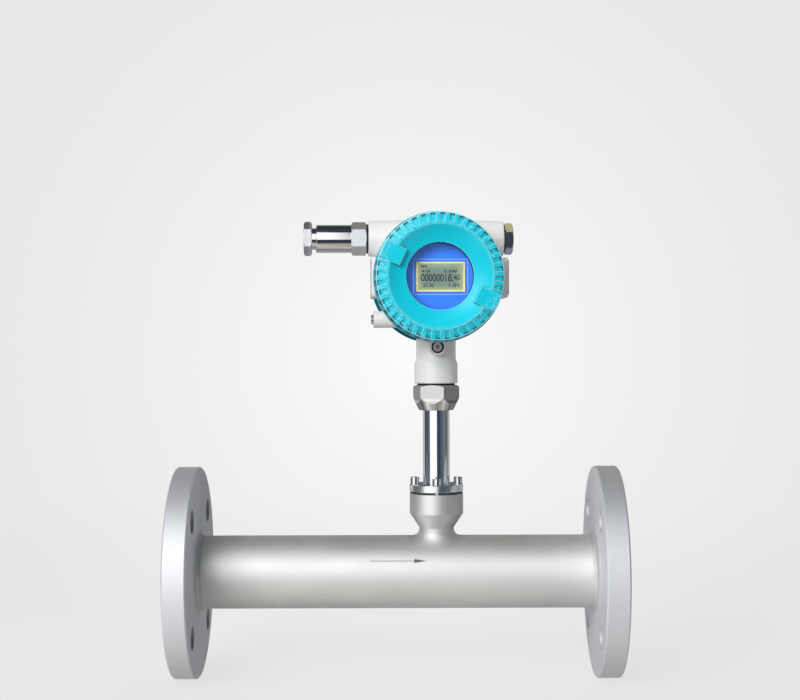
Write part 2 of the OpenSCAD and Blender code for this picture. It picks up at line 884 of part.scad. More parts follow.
// Boss of the lock screw, with the rib that widens up to the body
module lock_boss() {
  translate([0, 0, lock_z]) rotate([90, 0, 0]) {
    cylinder(d = lock_boss_d, h = lock_reach);
    linear_extrude(lock_reach)
      polygon([
        [-lock_boss_d / 2, 0], [lock_boss_d / 2, 0],
        [lock_rib_top_w / 2, lock_rib_h], [-lock_rib_top_w / 2, lock_rib_h]
      ]);
  }
}

module conduit_boss() {
  rotate_extrude()
    polygon([
      [0, -conduit_reach],
      [conduit_root_d / 2, -conduit_reach],
      [conduit_boss_d / 2, -boss_edge],
      [conduit_boss_d / 2 - boss_edge, 0],
      [0, 0]
    ]);
}

module conduit_bore() {
  depth = conduit_thread_h + conduit_relief;
  translate([0, 0, -depth]) cylinder(d = conduit_thread_d + 2 * running_gap, h = depth + overrun);
  translate([0, 0, -conduit_reach]) cylinder(d = conduit_bore_d, h = conduit_reach);
}

module housing() {
  color("whitesmoke")
    in_head() difference() {
      union() {
        forward() head_body();
        neck_outline();
        lock_boss();
        at_left_entry() conduit_boss();
        at_right_entry() conduit_boss();
        side_pad(right_pad_x);
        rotate([0, 0, 180]) side_pad(left_pad_x);
        translate([-earth_reach, 0, earth_z]) along_flow()
          cylinder(d = earth_boss_d, h = earth_reach);
      }
      forward() translate([0, 0, partition_y])
        cylinder(d = room_d, h = collar_end_y);
      forward() translate([0, 0, partition_y - partition_t]) mirror([0, 0, 1])
        cylinder(d = room_d, h = collar_end_y + partition_y);
      forward() cylinder(d = feedthrough_d, h = collar_end_y);
      at_left_entry() conduit_bore();
      at_right_entry() conduit_bore();
      translate([0, 0, neck_z - overrun])
        cylinder(d = neck_bore_d, h = neck_bore_top_z - neck_z + overrun);
      translate([0, 0, neck_z]) cylinder(d = neck_passage_d, h = head_z - neck_z);
      translate([0, 0, lock_z]) rotate([90, 0, 0]) {
        cylinder(d = lock_screw_d + 2 * running_gap, h = lock_reach + overrun);
        translate([0, 0, lock_reach - lock_recess_h])
          cylinder(d = lock_recess_d, h = lock_recess_h + overrun);
      }
      translate([-earth_reach - overrun, 0, earth_z]) along_flow()
        cylinder(d = earth_screw_d + 2 * running_gap, h = 2 * earth_screw_d + 2 * overrun);
      for (z = [-1, 1])
        translate([right_pad_x - rivet_d, 0, pad_z + z * (plate_h / 2 - rivet_d)])
          along_flow() cylinder(d = rivet_d / 2 + 2 * running_gap, h = 2 * rivet_d);
    }
}

module neck_lock_screw() {
  tip = spigot_d / 2 - lock_groove_depth + free_gap;
  floor_y = lock_reach - lock_recess_h;
  color("gray")
    in_head() translate([0, -floor_y, lock_z]) rotate([90, 0, 0])
      cap_screw(
        lock_screw_d, floor_y - tip, lock_head_d, lock_head_h, screw_socket_af, screw_socket_h
      );
}

module side_plate() {
  color("gainsboro")
    in_head() translate([right_pad_x, 0, pad_z]) rotate([90, 0, 90])
      difference() {
        rounded_plate(plate_w, plate_h, plate_t, pad_corner / 2);
        for (z = [-1, 1])
          translate([0, z * (plate_h / 2 - rivet_d), -overrun])
            cylinder(d = rivet_d / 2 + 2 * running_gap, h = plate_t + 2 * overrun);
      }
}

module plate_rivets() {
  color("silver")
    in_head()
      for (z = [-1, 1])
        translate([right_pad_x + plate_t, 0, pad_z + z * (plate_h / 2 - rivet_d)]) along_flow() {
          rotate_extrude()
            polygon(concat([[0, 0]], bend([rivet_d / 2, 0], [rivet_d / 2, rivet_h], [0, rivet_h])));
          translate([0, 0, -plate_t - rivet_d / 2]) cylinder(d = rivet_d / 2, h = plate_t + rivet_d / 2);
        }
}

module earth_screw() {
  color("silver")
    in_head() translate([-earth_reach - earth_washer_t, 0, earth_z]) rotate([0, -90, 0])
      difference() {
        union() {
          cylinder(d = earth_head_d, h = earth_head_h);
          translate([0, 0, -2 * earth_screw_d])
            cylinder(d = earth_screw_d, h = 2 * earth_screw_d + earth_head_h / 2);
        }
        translate([-earth_head_d, -earth_washer_t / 2, earth_head_h / 2])
          cube([2 * earth_head_d, earth_washer_t, earth_head_h]);
      }
}

module earth_washer() {
  color("gainsboro")
    in_head() translate([-earth_reach, 0, earth_z]) rotate([0, -90, 0])
      ring(earth_head_d + 2 * earth_washer_t, earth_screw_d + 2 * running_gap, earth_washer_t);
}

module feedthrough() {
  color("black")
    in_head() forward() translate([0, 0, partition_y - partition_t])
      cylinder(d = feedthrough_d - 2 * running_gap, h = partition_t + main_board_gap);
}

// Places children at the four post positions
module at_posts() {
  around(4, post_r, post_angle) children();
}

module board_blank() {
  difference() {
    cylinder(d = board_d, h = board_t);
    at_posts()
      translate([0, 0, -overrun]) cylinder(d = stud_d + 2 * running_gap, h = board_t + 2 * overrun);
  }
}

module main_board() {
  color("darkgreen")
    in_head() forward() translate([0, 0, main_board_y]) {
      board_blank();
      for (x = [-1, 1])
        translate([x * chip_w - chip_w / 2, -chip_w / 2, board_t / 2])
          cube([chip_w, chip_w, board_t / 2 + chip_h]);
    }
}

module display_board() {
  color("darkgreen")
    in_head() forward() translate([0, 0, display_board_y]) board_blank();
}

// Four posts that carry both boards and the dial on the partition
module board_posts() {
  hex_r = post_af / 2 / cos(30);
  color("goldenrod")
    in_head() forward() at_posts() difference() {
      union() {
        translate([0, 0, partition_y]) cylinder(r = hex_r, h = main_board_gap, $fn = 6);
        translate([0, 0, partition_y]) cylinder(d = stud_d, h = dial_back_y - partition_y);
        translate([0, 0, main_board_y + board_t]) cylinder(r = hex_r, h = display_board_gap, $fn = 6);
        translate([0, 0, display_front_y])
          cylinder(r = hex_r, h = dial_back_y - display_front_y, $fn = 6);
      }
      translate([0, 0, dial_back_y - dial_screw_h - running_gap])
        cylinder(d = dial_screw_d, h = dial_screw_h + running_gap + overrun);
    }
}

module board_header() {
  color("black")
    in_head() forward() translate([-header_w / 2, -header_drop - header_t / 2, main_board_y + board_t])
      cube([header_w, header_t, display_board_gap]);
}

module lcd_panel() {
  w = bezel_w - 2 * bezel_border;
  h = bezel_h - 2 * bezel_border;
  depth = dial_y + bezel_proud - panel_inset - display_front_y;
  color("darkseagreen")
    in_head() forward() translate([display_shift - w / 2, -h / 2, display_front_y])
      cube([w, h, depth]);
}

module lcd_bezel() {
  w = bezel_w - 2 * bezel_border;
  h = bezel_h - 2 * bezel_border;
  depth = dial_y + bezel_proud - display_front_y;
  color("khaki")
    in_head() forward() translate([display_shift, 0, display_front_y])
      difference() {
        translate([-bezel_w / 2, -bezel_h / 2, 0]) cube([bezel_w, bezel_h, depth]);
        translate([-w / 2, -h / 2, -overrun]) cube([w, h, depth + 2 * overrun]);
      }
}

module dial_plate() {
  pocket_w = bezel_w + 2 * bezel_pocket_gap;
  pocket_h = bezel_h + 2 * bezel_pocket_gap;
  color("royalblue")
    in_head() forward() translate([0, 0, dial_back_y])
      difference() {
        cylinder(d = dial_d, h = dial_t);
        translate([display_shift - pocket_w / 2, -pocket_h / 2, -overrun])
          cube([pocket_w, pocket_h, dial_t + 2 * overrun]);
        at_posts()
          translate([0, 0, -overrun])
            cylinder(d = dial_screw_d + 2 * running_gap, h = dial_t + 2 * overrun);
      }
}

module dial_screws() {
  color("silver")
    in_head() forward() translate([0, 0, dial_y])
      at_posts() {
        cylinder(d = dial_screw_head_d, h = dial_screw_head_h);
        translate([0, 0, -dial_t - dial_screw_h])
          cylinder(d = dial_screw_d, h = dial_t + dial_screw_h + dial_screw_head_h / 2);
      }
}

// Places children at each terminal, on the upper step of the block
module at_terminals() {
  for (i = [0 : terminal_count - 1])
    translate([(i - (terminal_count - 1) / 2) * terminal_pitch, 0, 0]) children();
}

// Places children at the two fixing ears, on the partition
module at_ears() {
  for (x = [-1, 1])
    translate([x * (terminal_w + ear_w) / 2, terminal_y, terminal_z + terminal_h / 2]) children();
}

module terminal_block() {
  low_y = terminal_y + terminal_depth;
  high_y = low_y - terminal_step_depth;
  color("dimgray")
    in_head() {
      difference() {
        union() {
          translate([-terminal_w / 2, terminal_y, terminal_z])
            cube([terminal_w, terminal_depth, terminal_h - terminal_step_h]);
          translate([-terminal_w / 2, terminal_y, terminal_z])
            cube([terminal_w, terminal_depth - terminal_step_depth, terminal_h]);
          at_ears() translate([-ear_w / 2 - overrun / 2, 0, -ear_h / 2])
            cube([ear_w + overrun, ear_t, ear_h]);
        }
        at_terminals() {
          translate([0, low_y - terminal_well_h, terminal_z + terminal_step_h])
            rotate([-90, 0, 0]) cylinder(d = terminal_well_d, h = terminal_well_h + overrun);
          translate([-wire_slot_w / 2, high_y - wire_slot_depth, terminal_z + terminal_h - wire_slot_h])
            cube([wire_slot_w, wire_slot_depth + overrun, wire_slot_h - terminal_rib_w]);
        }
        at_ears() translate([0, -overrun, 0]) rotate([-90, 0, 0])
          cylinder(d = ear_screw_d + 2 * running_gap, h = ear_t + 2 * overrun);
      }
    }
}

module terminal_screws() {
  floor_y = terminal_y + terminal_depth - terminal_well_h;
  color("silver")
    in_head() at_terminals()
      translate([0, floor_y, terminal_z + terminal_step_h]) rotate([-90, 0, 0])
        difference() {
          cylinder(d = terminal_screw_d, h = terminal_screw_h);
          translate([-terminal_screw_d, -terminal_rib_w / 2, terminal_screw_h / 2])
            cube([2 * terminal_screw_d, terminal_rib_w, terminal_screw_h]);
        }
}

module terminal_block_screws() {
  color("silver")
    in_head() at_ears() translate([0, ear_t, 0]) rotate([-90, 0, 0]) {
      cylinder(d = ear_head_d, h = ear_head_h);
      translate([0, 0, -ear_t]) cylinder(d = ear_screw_d, h = ear_t + ear_head_h / 2);
    }
}

module gland_body() {
  color("silver")
    in_head() at_left_entry() difference() {
      union() {
        translate([0, 0, -conduit_thread_h])
          cylinder(d = conduit_thread_d, h = conduit_thread_h + gland_seal_t);
        translate([0, 0, gland_seal_t]) hex_bar(gland_af, gland_hex_h);
        translate([0, 0, gland_hex_end - overrun])
          rotate_extrude()
            polygon([
              [0, 0], [barrel_d / 2, 0], [barrel_d / 2, barrel_h + overrun - boss_edge],
              [barrel_d / 2 - boss_edge, barrel_h + overrun], [0, barrel_h + overrun]
            ]);
      }
      translate([0, 0, insert_start]) cylinder(d = barrel_bore_d, h = barrel_end);
      translate([0, 0, -conduit_thread_h - overrun])
        cylinder(d = gland_inner_d, h = conduit_thread_h + insert_start + 2 * overrun);
    }
}

module gland_seal() {
  color("black")
    in_head() at_left_entry()
      ring(conduit_thread_d + 2 * gland_seal_t, conduit_thread_d + 2 * running_gap, gland_seal_t);
}

module gland_insert() {
  color("black")
    in_head() at_left_entry() translate([0, 0, insert_start]) ring(insert_d, cable_hole_d, insert_h);
}

module gland_washer() {
  color("silver")
    in_head() at_left_entry() translate([0, 0, washer_start]) ring(insert_d, nut_hole_d, gland_washer_t);
}

module gland_nut() {
  color("silver")
    in_head() at_left_entry() difference() {
      union() {
        translate([0, 0, sleeve_start]) cylinder(d = sleeve_d, h = nut_start + overrun - sleeve_start);
        translate([0, 0, nut_start]) hex_bar(gland_nut_af, gland_nut_h);
      }
      translate([0, 0, sleeve_start - overrun]) cylinder(d = nut_hole_d, h = barrel_end + gland_nut_h);
      translate([0, 0, nut_start + gland_nut_h - nut_mouth])
        cylinder(d1 = nut_hole_d, d2 = nut_hole_d + 2 * nut_mouth, h = nut_mouth);
    }
}

module plug_seal() {
  color("black")
    in_head() at_right_entry() translate([0, 0, running_gap])
      ring(
        conduit_thread_d + 2 * plug_seal_t, conduit_thread_d + 2 * running_gap,
        plug_seal_t - 2 * running_gap
      );
}

module blanking_plug() {
  color("lightsteelblue")
    in_head() at_right_entry() {
      translate([0, 0, -conduit_thread_h])
        cylinder(d = conduit_thread_d, h = conduit_thread_h + plug_seal_t);
      translate([0, 0, plug_seal_t]) rotate([0, 0, plug_turn]) hex_bar(plug_af, plug_hex_h);
    }
}

// Outer shape of a cover without its bore: turned body, two rows of grooves and two wrench lugs
module cover_outside() {
  chamfer_z = cover_h - cover_chamfer_h;
  rim = [land_inner_d / 2, cover_h];
  floor_edge = [window_d / 2, dish_z];
  bend_point = [
    rim[0] + (floor_edge[0] - rim[0]) * dish_bend_shares[0],
    rim[1] + (floor_edge[1] - rim[1]) * dish_bend_shares[1]
  ];
  difference() {
    rotate_extrude()
      polygon(concat(
        [
          [0, 0], [cover_d / 2, 0], [cover_d / 2, cover_band_h],
          [cover_front_d / 2, chamfer_z], [land_outer_d / 2, cover_h]
        ],
        bend(rim, bend_point, floor_edge),
        [[0, dish_z]]
      ));
    for (i = [0 : tooth_count - 1])
      rotate([0, 0, lug_angle + groove_angle(i)])
        if (clear_of_lugs(i)) cover_grooves(chamfer_z);
  }
  for (side = [0, 180])
    rotate([0, 0, lug_angle + side]) wrench_lug(chamfer_z);
}

// Angle of groove i from the first lug
function groove_angle(i) = tooth_phase + (i + 1 / 2) * 360 / tooth_count;

// True where groove i lies outside both lugs
function clear_of_lugs(i) = abs(sin(groove_angle(i))) > (lug_w + groove_w) / cover_d;

// Two grooves at one angle: one in the chamfer, one in the side, with the plain ridge between them
module cover_grooves(chamfer_z) {
  ridge_r = cover_front_d / 2 - ridge_w;
  side_top = chamfer_z - ridge_h;
  side_bottom = cover_band_h + ridge_w;
  side_slope = (cover_d - cover_front_d) / 2 / (chamfer_z - cover_band_h);
  rotate([90, 0, 0]) translate([0, 0, -groove_w / 2])
    linear_extrude(groove_w) {
      polygon([
        [land_outer_d / 2 - ridge_w, cover_h + overrun],
        [land_outer_d / 2 - ridge_w, cover_h - chamfer_groove_depth / 2],
        [ridge_r, chamfer_z - chamfer_groove_depth],
        [ridge_r, cover_h + overrun]
      ]);
      polygon([
        [cover_front_d / 2 - side_groove_depth + side_slope * ridge_h, side_top],
        [cover_d / 2 - side_groove_depth - side_slope * ridge_w, side_bottom],
        [cover_d / 2 + overrun, side_bottom],
        [cover_d / 2 + overrun, side_top]
      ]);
    }
}

// One lug, from the dish out to the ridge
module wrench_lug(chamfer_z) {
  rotate([90, 0, 0]) translate([0, 0, -lug_w / 2])
    linear_extrude(lug_w)
      polygon([
        [lug_inner_r, dish_z - blind_wall / 2],
        [lug_inner_r + lug_slope, cover_h],
        [cover_front_d / 2 - lug_edge, cover_h],
        [cover_front_d / 2, cover_h - lug_edge],
        [cover_front_d / 2, chamfer_z],
        [collar_d / 2, dish_z - blind_wall / 2]
      ]);
}

// Bore of a cover, around the housing's collar
module collar_bore() {
  translate([0, 0, -overrun]) cylinder(d = cover_bore_d, h = collar_h + overrun);
}

module front_cover() {
  color("turquoise")
    in_head() at_front_seat() {
      difference() {
        cover_outside();
        difference() {
          collar_bore();
          translate([0, 0, glass_tube_end_z]) cylinder(d = glass_tube_d, h = cover_h);
        }
        translate([0, 0, -overrun])
          cylinder(d = glass_seat_d, h = glass_front_z + glass_gasket_t + overrun);
        cylinder(d = window_d, h = cover_h);
      }
    }
}

module rear_cover() {
  color("turquoise")
    in_head() at_rear_seat() difference() {
      cover_outside();
      collar_bore();
      cylinder(d = room_d, h = dish_z - blind_wall);
    }
}

// Sealing ring in the groove of a collar
module cover_seal() {
  translate([0, 0, seal_groove_y + seal_groove_w / 2 - free_gap])
    rotate_extrude()
      translate([(seal_groove_d + cover_seal_t) / 2 + running_gap, 0]) circle(d = cover_seal_t, $fn = 32);
}

module front_cover_seal() {
  color("black") in_head() at_front_seat() cover_seal();
}

module rear_cover_seal() {
  color("black") in_head() at_rear_seat() cover_seal();
}

module window_glass() {
  color("lightcyan", 0.4)
    in_head() at_front_seat() translate([0, 0, glass_back_z]) cylinder(d = glass_d, h = glass_t);
}

module glass_gasket() {
  color("black")
    in_head() at_front_seat() translate([0, 0, glass_front_z]) ring(glass_d, window_d, glass_gasket_t);
}

module glass_retainer() {
  color("darkgray")
    in_head() at_front_seat() translate([0, 0, glass_back_z - retainer_t])
      difference() {
        ring(glass_d, window_d, retainer_t);
        for (a = [0, 90])
          rotate([0, 0, a]) translate([-glass_d, -retainer_slot_w / 2, -overrun])
            cube([2 * glass_d, retainer_slot_w, retainer_slot_h + overrun]);
      }
}

measuring_pipe();
inlet_flange();
outlet_flange();
flange_welds();
sensor_boss();
boss_weld();
boss_gasket();
sensor_flange();
sensor_flange_screws();
sensor_stem();
probe_tube();
heated_pin();
reference_pin();
hex_coupling();
neck_seal();
sensor_lead();
housing();
neck_lock_screw();
side_plate();
plate_rivets();
earth_screw();
earth_washer();
feedthrough();
main_board();
board_posts();
board_header();
display_board();
lcd_panel();
lcd_bezel();
dial_plate();
dial_screws();
terminal_block();
terminal_screws();
terminal_block_screws();
gland_body();
gland_seal();
gland_insert();
gland_washer();
gland_nut();
plug_seal();
blanking_plug();
front_cover_seal();
front_cover();
window_glass();
glass_gasket();
glass_retainer();
rear_cover_seal();
rear_cover();
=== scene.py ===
import math

import bpy
from mathutils import Matrix, Vector


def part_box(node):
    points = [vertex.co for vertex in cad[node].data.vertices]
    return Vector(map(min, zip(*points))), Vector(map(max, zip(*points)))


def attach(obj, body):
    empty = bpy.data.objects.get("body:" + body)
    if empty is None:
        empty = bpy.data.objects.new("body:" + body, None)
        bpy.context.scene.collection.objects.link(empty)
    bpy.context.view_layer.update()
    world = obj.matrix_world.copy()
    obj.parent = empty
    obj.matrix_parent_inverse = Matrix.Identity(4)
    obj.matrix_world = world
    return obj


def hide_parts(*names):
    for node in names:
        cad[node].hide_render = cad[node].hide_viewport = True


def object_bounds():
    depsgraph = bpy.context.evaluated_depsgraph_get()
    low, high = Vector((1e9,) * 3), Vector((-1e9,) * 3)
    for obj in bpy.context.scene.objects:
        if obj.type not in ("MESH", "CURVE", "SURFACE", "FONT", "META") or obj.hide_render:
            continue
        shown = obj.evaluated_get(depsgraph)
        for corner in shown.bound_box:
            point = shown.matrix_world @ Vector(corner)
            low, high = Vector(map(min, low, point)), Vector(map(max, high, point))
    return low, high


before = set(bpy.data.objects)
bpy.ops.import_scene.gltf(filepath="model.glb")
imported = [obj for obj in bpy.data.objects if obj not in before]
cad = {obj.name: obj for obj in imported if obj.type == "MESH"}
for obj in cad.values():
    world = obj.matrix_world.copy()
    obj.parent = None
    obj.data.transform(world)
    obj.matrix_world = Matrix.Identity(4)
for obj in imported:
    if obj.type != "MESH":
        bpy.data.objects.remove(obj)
cad_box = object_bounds()
bpy.ops.object.select_all(action="DESELECT")


# The studio. The camera stands 1.2 m in front of the pipe, level with the stem, and looks
# straight at it. A large softbox at the upper left gives the light, the room gives the rest,
# and a dark ceiling and a beige table edge stand where the polished steel mirrors them.
def linear(code):
    """The linear colour of an sRGB hex value."""
    parts = [int(code[i : i + 2], 16) / 255 for i in (1, 3, 5)]
    return [p / 12.92 if p <= 0.04045 else ((p + 0.055) / 1.055) ** 2.4 for p in parts] + [1]


def node(tree, kind, inputs=(), stops=(), **settings):
    """Adds a node, sets its settings and ramp stops, and sets or links its inputs."""
    made = tree.nodes.new("ShaderNode" + kind)
    for name, value in settings.items():
        setattr(made, name, value)
    for number, (place, colour) in enumerate(stops):
        if number > 1:
            made.color_ramp.elements.new(place)
        stop = made.color_ramp.elements[number]
        stop.position = place
        stop.color = linear(colour) if isinstance(colour, str) else [colour] * 3 + [1]
    for socket, value in dict(inputs).items():
        if isinstance(value, bpy.types.Node):
            value = value.outputs[0]
        if isinstance(value, bpy.types.NodeSocket):
            tree.links.new(value, made.inputs[socket])
        else:
            made.inputs[socket].default_value = value
    return made


def new_finish(name):
    """A new material, its empty node tree, and the place on the piece that it covers."""
    made = bpy.data.materials.new(name)
    made.use_nodes = True
    made.node_tree.nodes.clear()
    return made, made.node_tree, node(made.node_tree, "TexCoord").outputs["Object"]


PHOTO_WIDTH = 800
PIPE_MIDDLE_X = 0.175
FLOOR_R = 4
LAMPS_POINT_AT = Vector((0.19, 0, 0.13))
camera = bpy.data.objects.new("camera", bpy.data.cameras.new("camera"))
camera.data.lens = 69.3
camera.data.sensor_width = 36
camera.data.shift_x = -14 / PHOTO_WIDTH
camera.data.clip_end = 50
camera.location = (0.1887, -1.212, 0.1742)
camera.rotation_euler = (math.radians(90), math.radians(0.18), 0)
bpy.context.scene.collection.objects.link(camera)
bpy.context.scene.camera = camera
bpy.context.scene.view_settings.view_transform = "Standard"

room = bpy.data.worlds.new("studio_room")
bpy.context.scene.world = room
room.use_nodes = True
tree = room.node_tree
tree.nodes.clear()
towards = node(tree, "TexCoord").outputs["Generated"]
parts = node(tree, "SeparateXYZ", {0: towards})
rise = node(tree, "Math", {0: parts.outputs[2]}, operation="ARCSINE")
rise_share = node(tree, "MapRange", {0: rise, 1: -math.pi / 2, 2: math.pi / 2})
front = node(tree, "Math", {0: parts.outputs[1], 1: -1}, operation="MULTIPLY")
turn = node(tree, "Math", {0: parts.outputs[0], 1: front}, operation="ARCTAN2")
turn_share = node(tree, "MapRange", {0: turn, 1: -math.pi, 2: math.pi})
# The walls, once round: 0.25 is left of the object, 0.5 in front of it and 0.75 right of it
walls = node(
    tree,
    "ValToRGB",
    {0: turn_share},
    stops=[
        (0.0, 0.15), (0.07, 0.3), (0.10, 0.85), (0.15, 0.85), (0.165, "#565861"), (0.30, "#606474"),
        (0.335, "#767A8E"), (0.352, 1.55), (0.5085, 1.55), (0.5125, "#4A5060"), (0.58, "#3E4658"),
        (0.61, "#586A7A"), (0.67, "#687884"), (0.69, "#8C8680"), (0.715, "#94908A"),
        (0.735, "#6C6C6C"), (0.80, "#767A80"), (0.86, 0.6), (0.91, 0.6), (0.95, 0.2), (1.0, 0.15),
    ],
)
# Table and ceiling: 0.25 is below the object, 0.5 in front of it and 0.75 above it
pitch = node(tree, "Math", {0: parts.outputs[2], 1: front}, operation="ARCTAN2")
pitch_share = node(tree, "MapRange", {0: pitch, 1: -math.pi, 2: math.pi})
table_and_ceiling = node(
    tree,
    "ValToRGB",
    {0: pitch_share},
    stops=[
        (0.0, 0.12), (0.06, 0.15), (0.10, "#B8B9BB"), (0.16, "#989A99"), (0.235, "#928D87"),
        (0.25, "#C0BAB0"), (0.340, "#D6D4CE"), (0.365, "#86868A"), (0.385, "#3E4248"),
        (0.45, "#4D5558"), (0.475, "#7A8488"), (0.50, 0.5), (0.64, 0.5), (0.66, "#5A626C"),
        (0.68, "#40475A"), (0.735, "#3C403F"), (0.80, "#2E2E32"), (0.84, "#464650"),
        (0.94, "#7C7C80"), (0.97, 0.15), (1.0, 0.12),
    ],
)
# A little to the right the table is bluer, and a warm strip of light hangs up behind
far_right = node(
    tree,
    "ValToRGB",
    {0: pitch_share},
    stops=[
        (0.0, 0.15), (0.14, "#989CB4"), (0.25, "#B0B4C8"), (0.30, "#B9B5AA"), (0.37, "#B9B5AA"),
        (0.40, "#3A404C"), (0.66, "#343A48"), (0.78, "#4A4A44"), (0.80, "#E6DCA4"),
        (0.88, "#E6DEAE"), (0.91, "#9A9680"), (1.0, 0.15),
    ],
)
aside_right = node(tree, "Math", {0: parts.outputs[0], 1: 0.11, 2: 0.085}, operation="COMPARE")
up_and_down = node(
    tree, "Mix", {0: aside_right, 6: table_and_ceiling, 7: far_right}, data_type="RGBA"
).outputs[2]
level = node(
    tree,
    "ValToRGB",
    {0: rise_share},
    stops=[(0.0, 0), (0.435, 0), (0.455, 1), (0.77, 1), (0.795, 0)],
)
around = node(tree, "Mix", {0: level, 6: up_and_down, 7: walls}, data_type="RGBA").outputs[2]
# A white card stands low at the left
card_rise = node(
    tree, "ValToRGB", {0: rise_share}, stops=[(0.0, 0), (0.18, 0), (0.21, 1), (0.45, 1), (0.46, 0)]
)
card_turn = node(
    tree, "ValToRGB", {0: turn_share}, stops=[(0.0, 0), (0.24, 0), (0.26, 1), (0.45, 1), (0.46, 0)]
)
card = node(tree, "Math", {0: card_rise, 1: card_turn}, operation="MULTIPLY")
mirrored = node(
    tree, "Mix", {0: card, 6: around, 7: (1.1, 1.1, 1.1, 1)}, data_type="RGBA"
).outputs[2]
# The backdrop that the camera sees, straight or through glass, pales towards its middle
aside = node(
    tree,
    "VectorMath",
    {0: node(tree, "CombineXYZ", {0: parts.outputs[0], 2: parts.outputs[2]})},
    operation="LENGTH",
).outputs["Value"]
seen = node(
    tree,
    "ValToRGB",
    {0: aside},
    stops=[(0.0, "#FCFCFC"), (0.065, "#F5F5F5"), (0.16, "#EEEEEE"), (0.27, "#E8E8E8")],
)
# The light that falls on matt surfaces, from straight below to straight above
fill = node(
    tree, "ValToRGB", {0: rise_share}, stops=[(0.0, 0.18), (0.5, 0.25), (0.75, 0.40), (1.0, 1.1)]
)
rays = node(tree, "LightPath")
lit_by = node(
    tree, "Mix", {0: rays.outputs["Is Glossy Ray"], 6: fill, 7: mirrored}, data_type="RGBA"
).outputs[2]
straight = node(
    tree,
    "Math",
    {0: rays.outputs["Is Camera Ray"], 1: rays.outputs["Is Transmission Ray"]},
    operation="MAXIMUM",
)
shown = node(tree, "Mix", {0: straight, 6: lit_by, 7: seen}, data_type="RGBA").outputs[2]
node(tree, "OutputWorld", {0: node(tree, "Background", {0: shown, 1: 1.0})})

for name, place, width, watts in [
    ("softbox_left", (-0.80, -1.62, 0.92), 1.1, 18),
    ("softbox_front", (-0.42, -1.75, 0.95), 0.7, 10.5),
    ("softbox_back", (0.3, 1.3, 0.9), 0.8, 5),
    ("table_glow_left", (-0.60, -0.55, -0.60), 0.5, 2.0),
    ("table_glow_right", (0.95, -0.55, -0.60), 0.5, 1.6),
]:
    lamp = bpy.data.objects.new(name, bpy.data.lights.new(name, "AREA"))
    lamp.data.shape = "SQUARE"
    lamp.data.size = width
    lamp.data.energy = watts
    lamp.visible_camera = False
    lamp.visible_diffuse = not name.startswith("table")
    lamp.visible_glossy = name != "softbox_back"
    lamp.location = place
    aim = LAMPS_POINT_AT - Vector(place)
    lamp.rotation_euler = aim.to_track_quat("-Z", "Y").to_euler()
    bpy.context.scene.collection.objects.link(lamp)

# The floor lies 0.2 mm under the flanges
bpy.ops.mesh.primitive_circle_add(
    vertices=96,
    radius=FLOOR_R,
    fill_type="NGON",
    location=(PIPE_MIDDLE_X, 0, cad_box[0].z - 0.0002),
)
floor = bpy.context.object
floor.name = "floor"
floor.visible_glossy = False
paper, tree, where = new_finish("pale_paper_floor")
away = node(tree, "VectorMath", {0: where}, operation="LENGTH").outputs["Value"]
fibre = node(tree, "TexNoise", {"Vector": where, "Scale": 60.0, "Detail": 4.0})
grain = node(tree, "Bump", {"Strength": 0.05, "Distance": 0.0004, "Height": fibre})
cloth = node(tree, "BsdfDiffuse", {"Color": linear("#F1F1F1"), "Normal": grain})
thin = node(tree, "BsdfTransparent")
near = node(
    tree,
    "MapRange",
    {0: away, 1: 0.5, 2: 1.6, 3: 0.18, 4: 0.0},
    interpolation_type="SMOOTHSTEP",
)
node(tree, "OutputMaterial", {0: node(tree, "MixShader", {0: near, 1: thin, 2: cloth})})
floor.data.materials.append(paper)
bpy.ops.object.select_all(action="DESELECT")


# Measuring pipe, both flanges and the sensor boss: stainless steel, turned and welded, then
# blasted with fine beads all over, which leaves an even matt grey without any lathe lines.
def dress(material, *names):
    """Gives CAD nodes their material."""
    for name in names:
        cad[name].data.materials.clear()
        cad[name].data.materials.append(material)


SENSOR_X = 0.206
FLANGE_FROM = 0.1540
HOLE_OFF = 0.0442
HOLE_R = 0.009
blasted, tree, where = new_finish("bead_blasted_stainless")
clouds = node(tree, "TexNoise", {"Vector": where, "Scale": 28.0, "Detail": 5.0, "Roughness": 0.6})
# Bead marks of 0.2 mm are drawn 0.6 mm wide so that they show
beads = node(tree, "TexNoise", {"Vector": where, "Scale": 1600.0, "Detail": 2.0, "Roughness": 0.7})
tone = node(
    tree, "Mix", {0: clouds, 6: linear("#D2D2D1"), 7: linear("#DDDDDB")}, data_type="RGBA"
).outputs[2]
# The flanges are forged from a bluer steel than the pipe, and take the beads more coarsely
off_middle = node(tree, "VectorMath", {0: where, 1: (PIPE_MIDDLE_X, 0, 0)}, operation="SUBTRACT")
along = node(tree, "SeparateXYZ", {0: off_middle}).outputs[0]
out_to_end = node(tree, "Math", {0: along}, operation="ABSOLUTE")
on_flange = node(tree, "MapRange", {0: out_to_end, 1: FLANGE_FROM, 2: FLANGE_FROM + 0.0005})
tone = node(tree, "Mix", {0: on_flange, 6: tone, 7: linear("#D9DADD")}, data_type="RGBA").outputs[2]
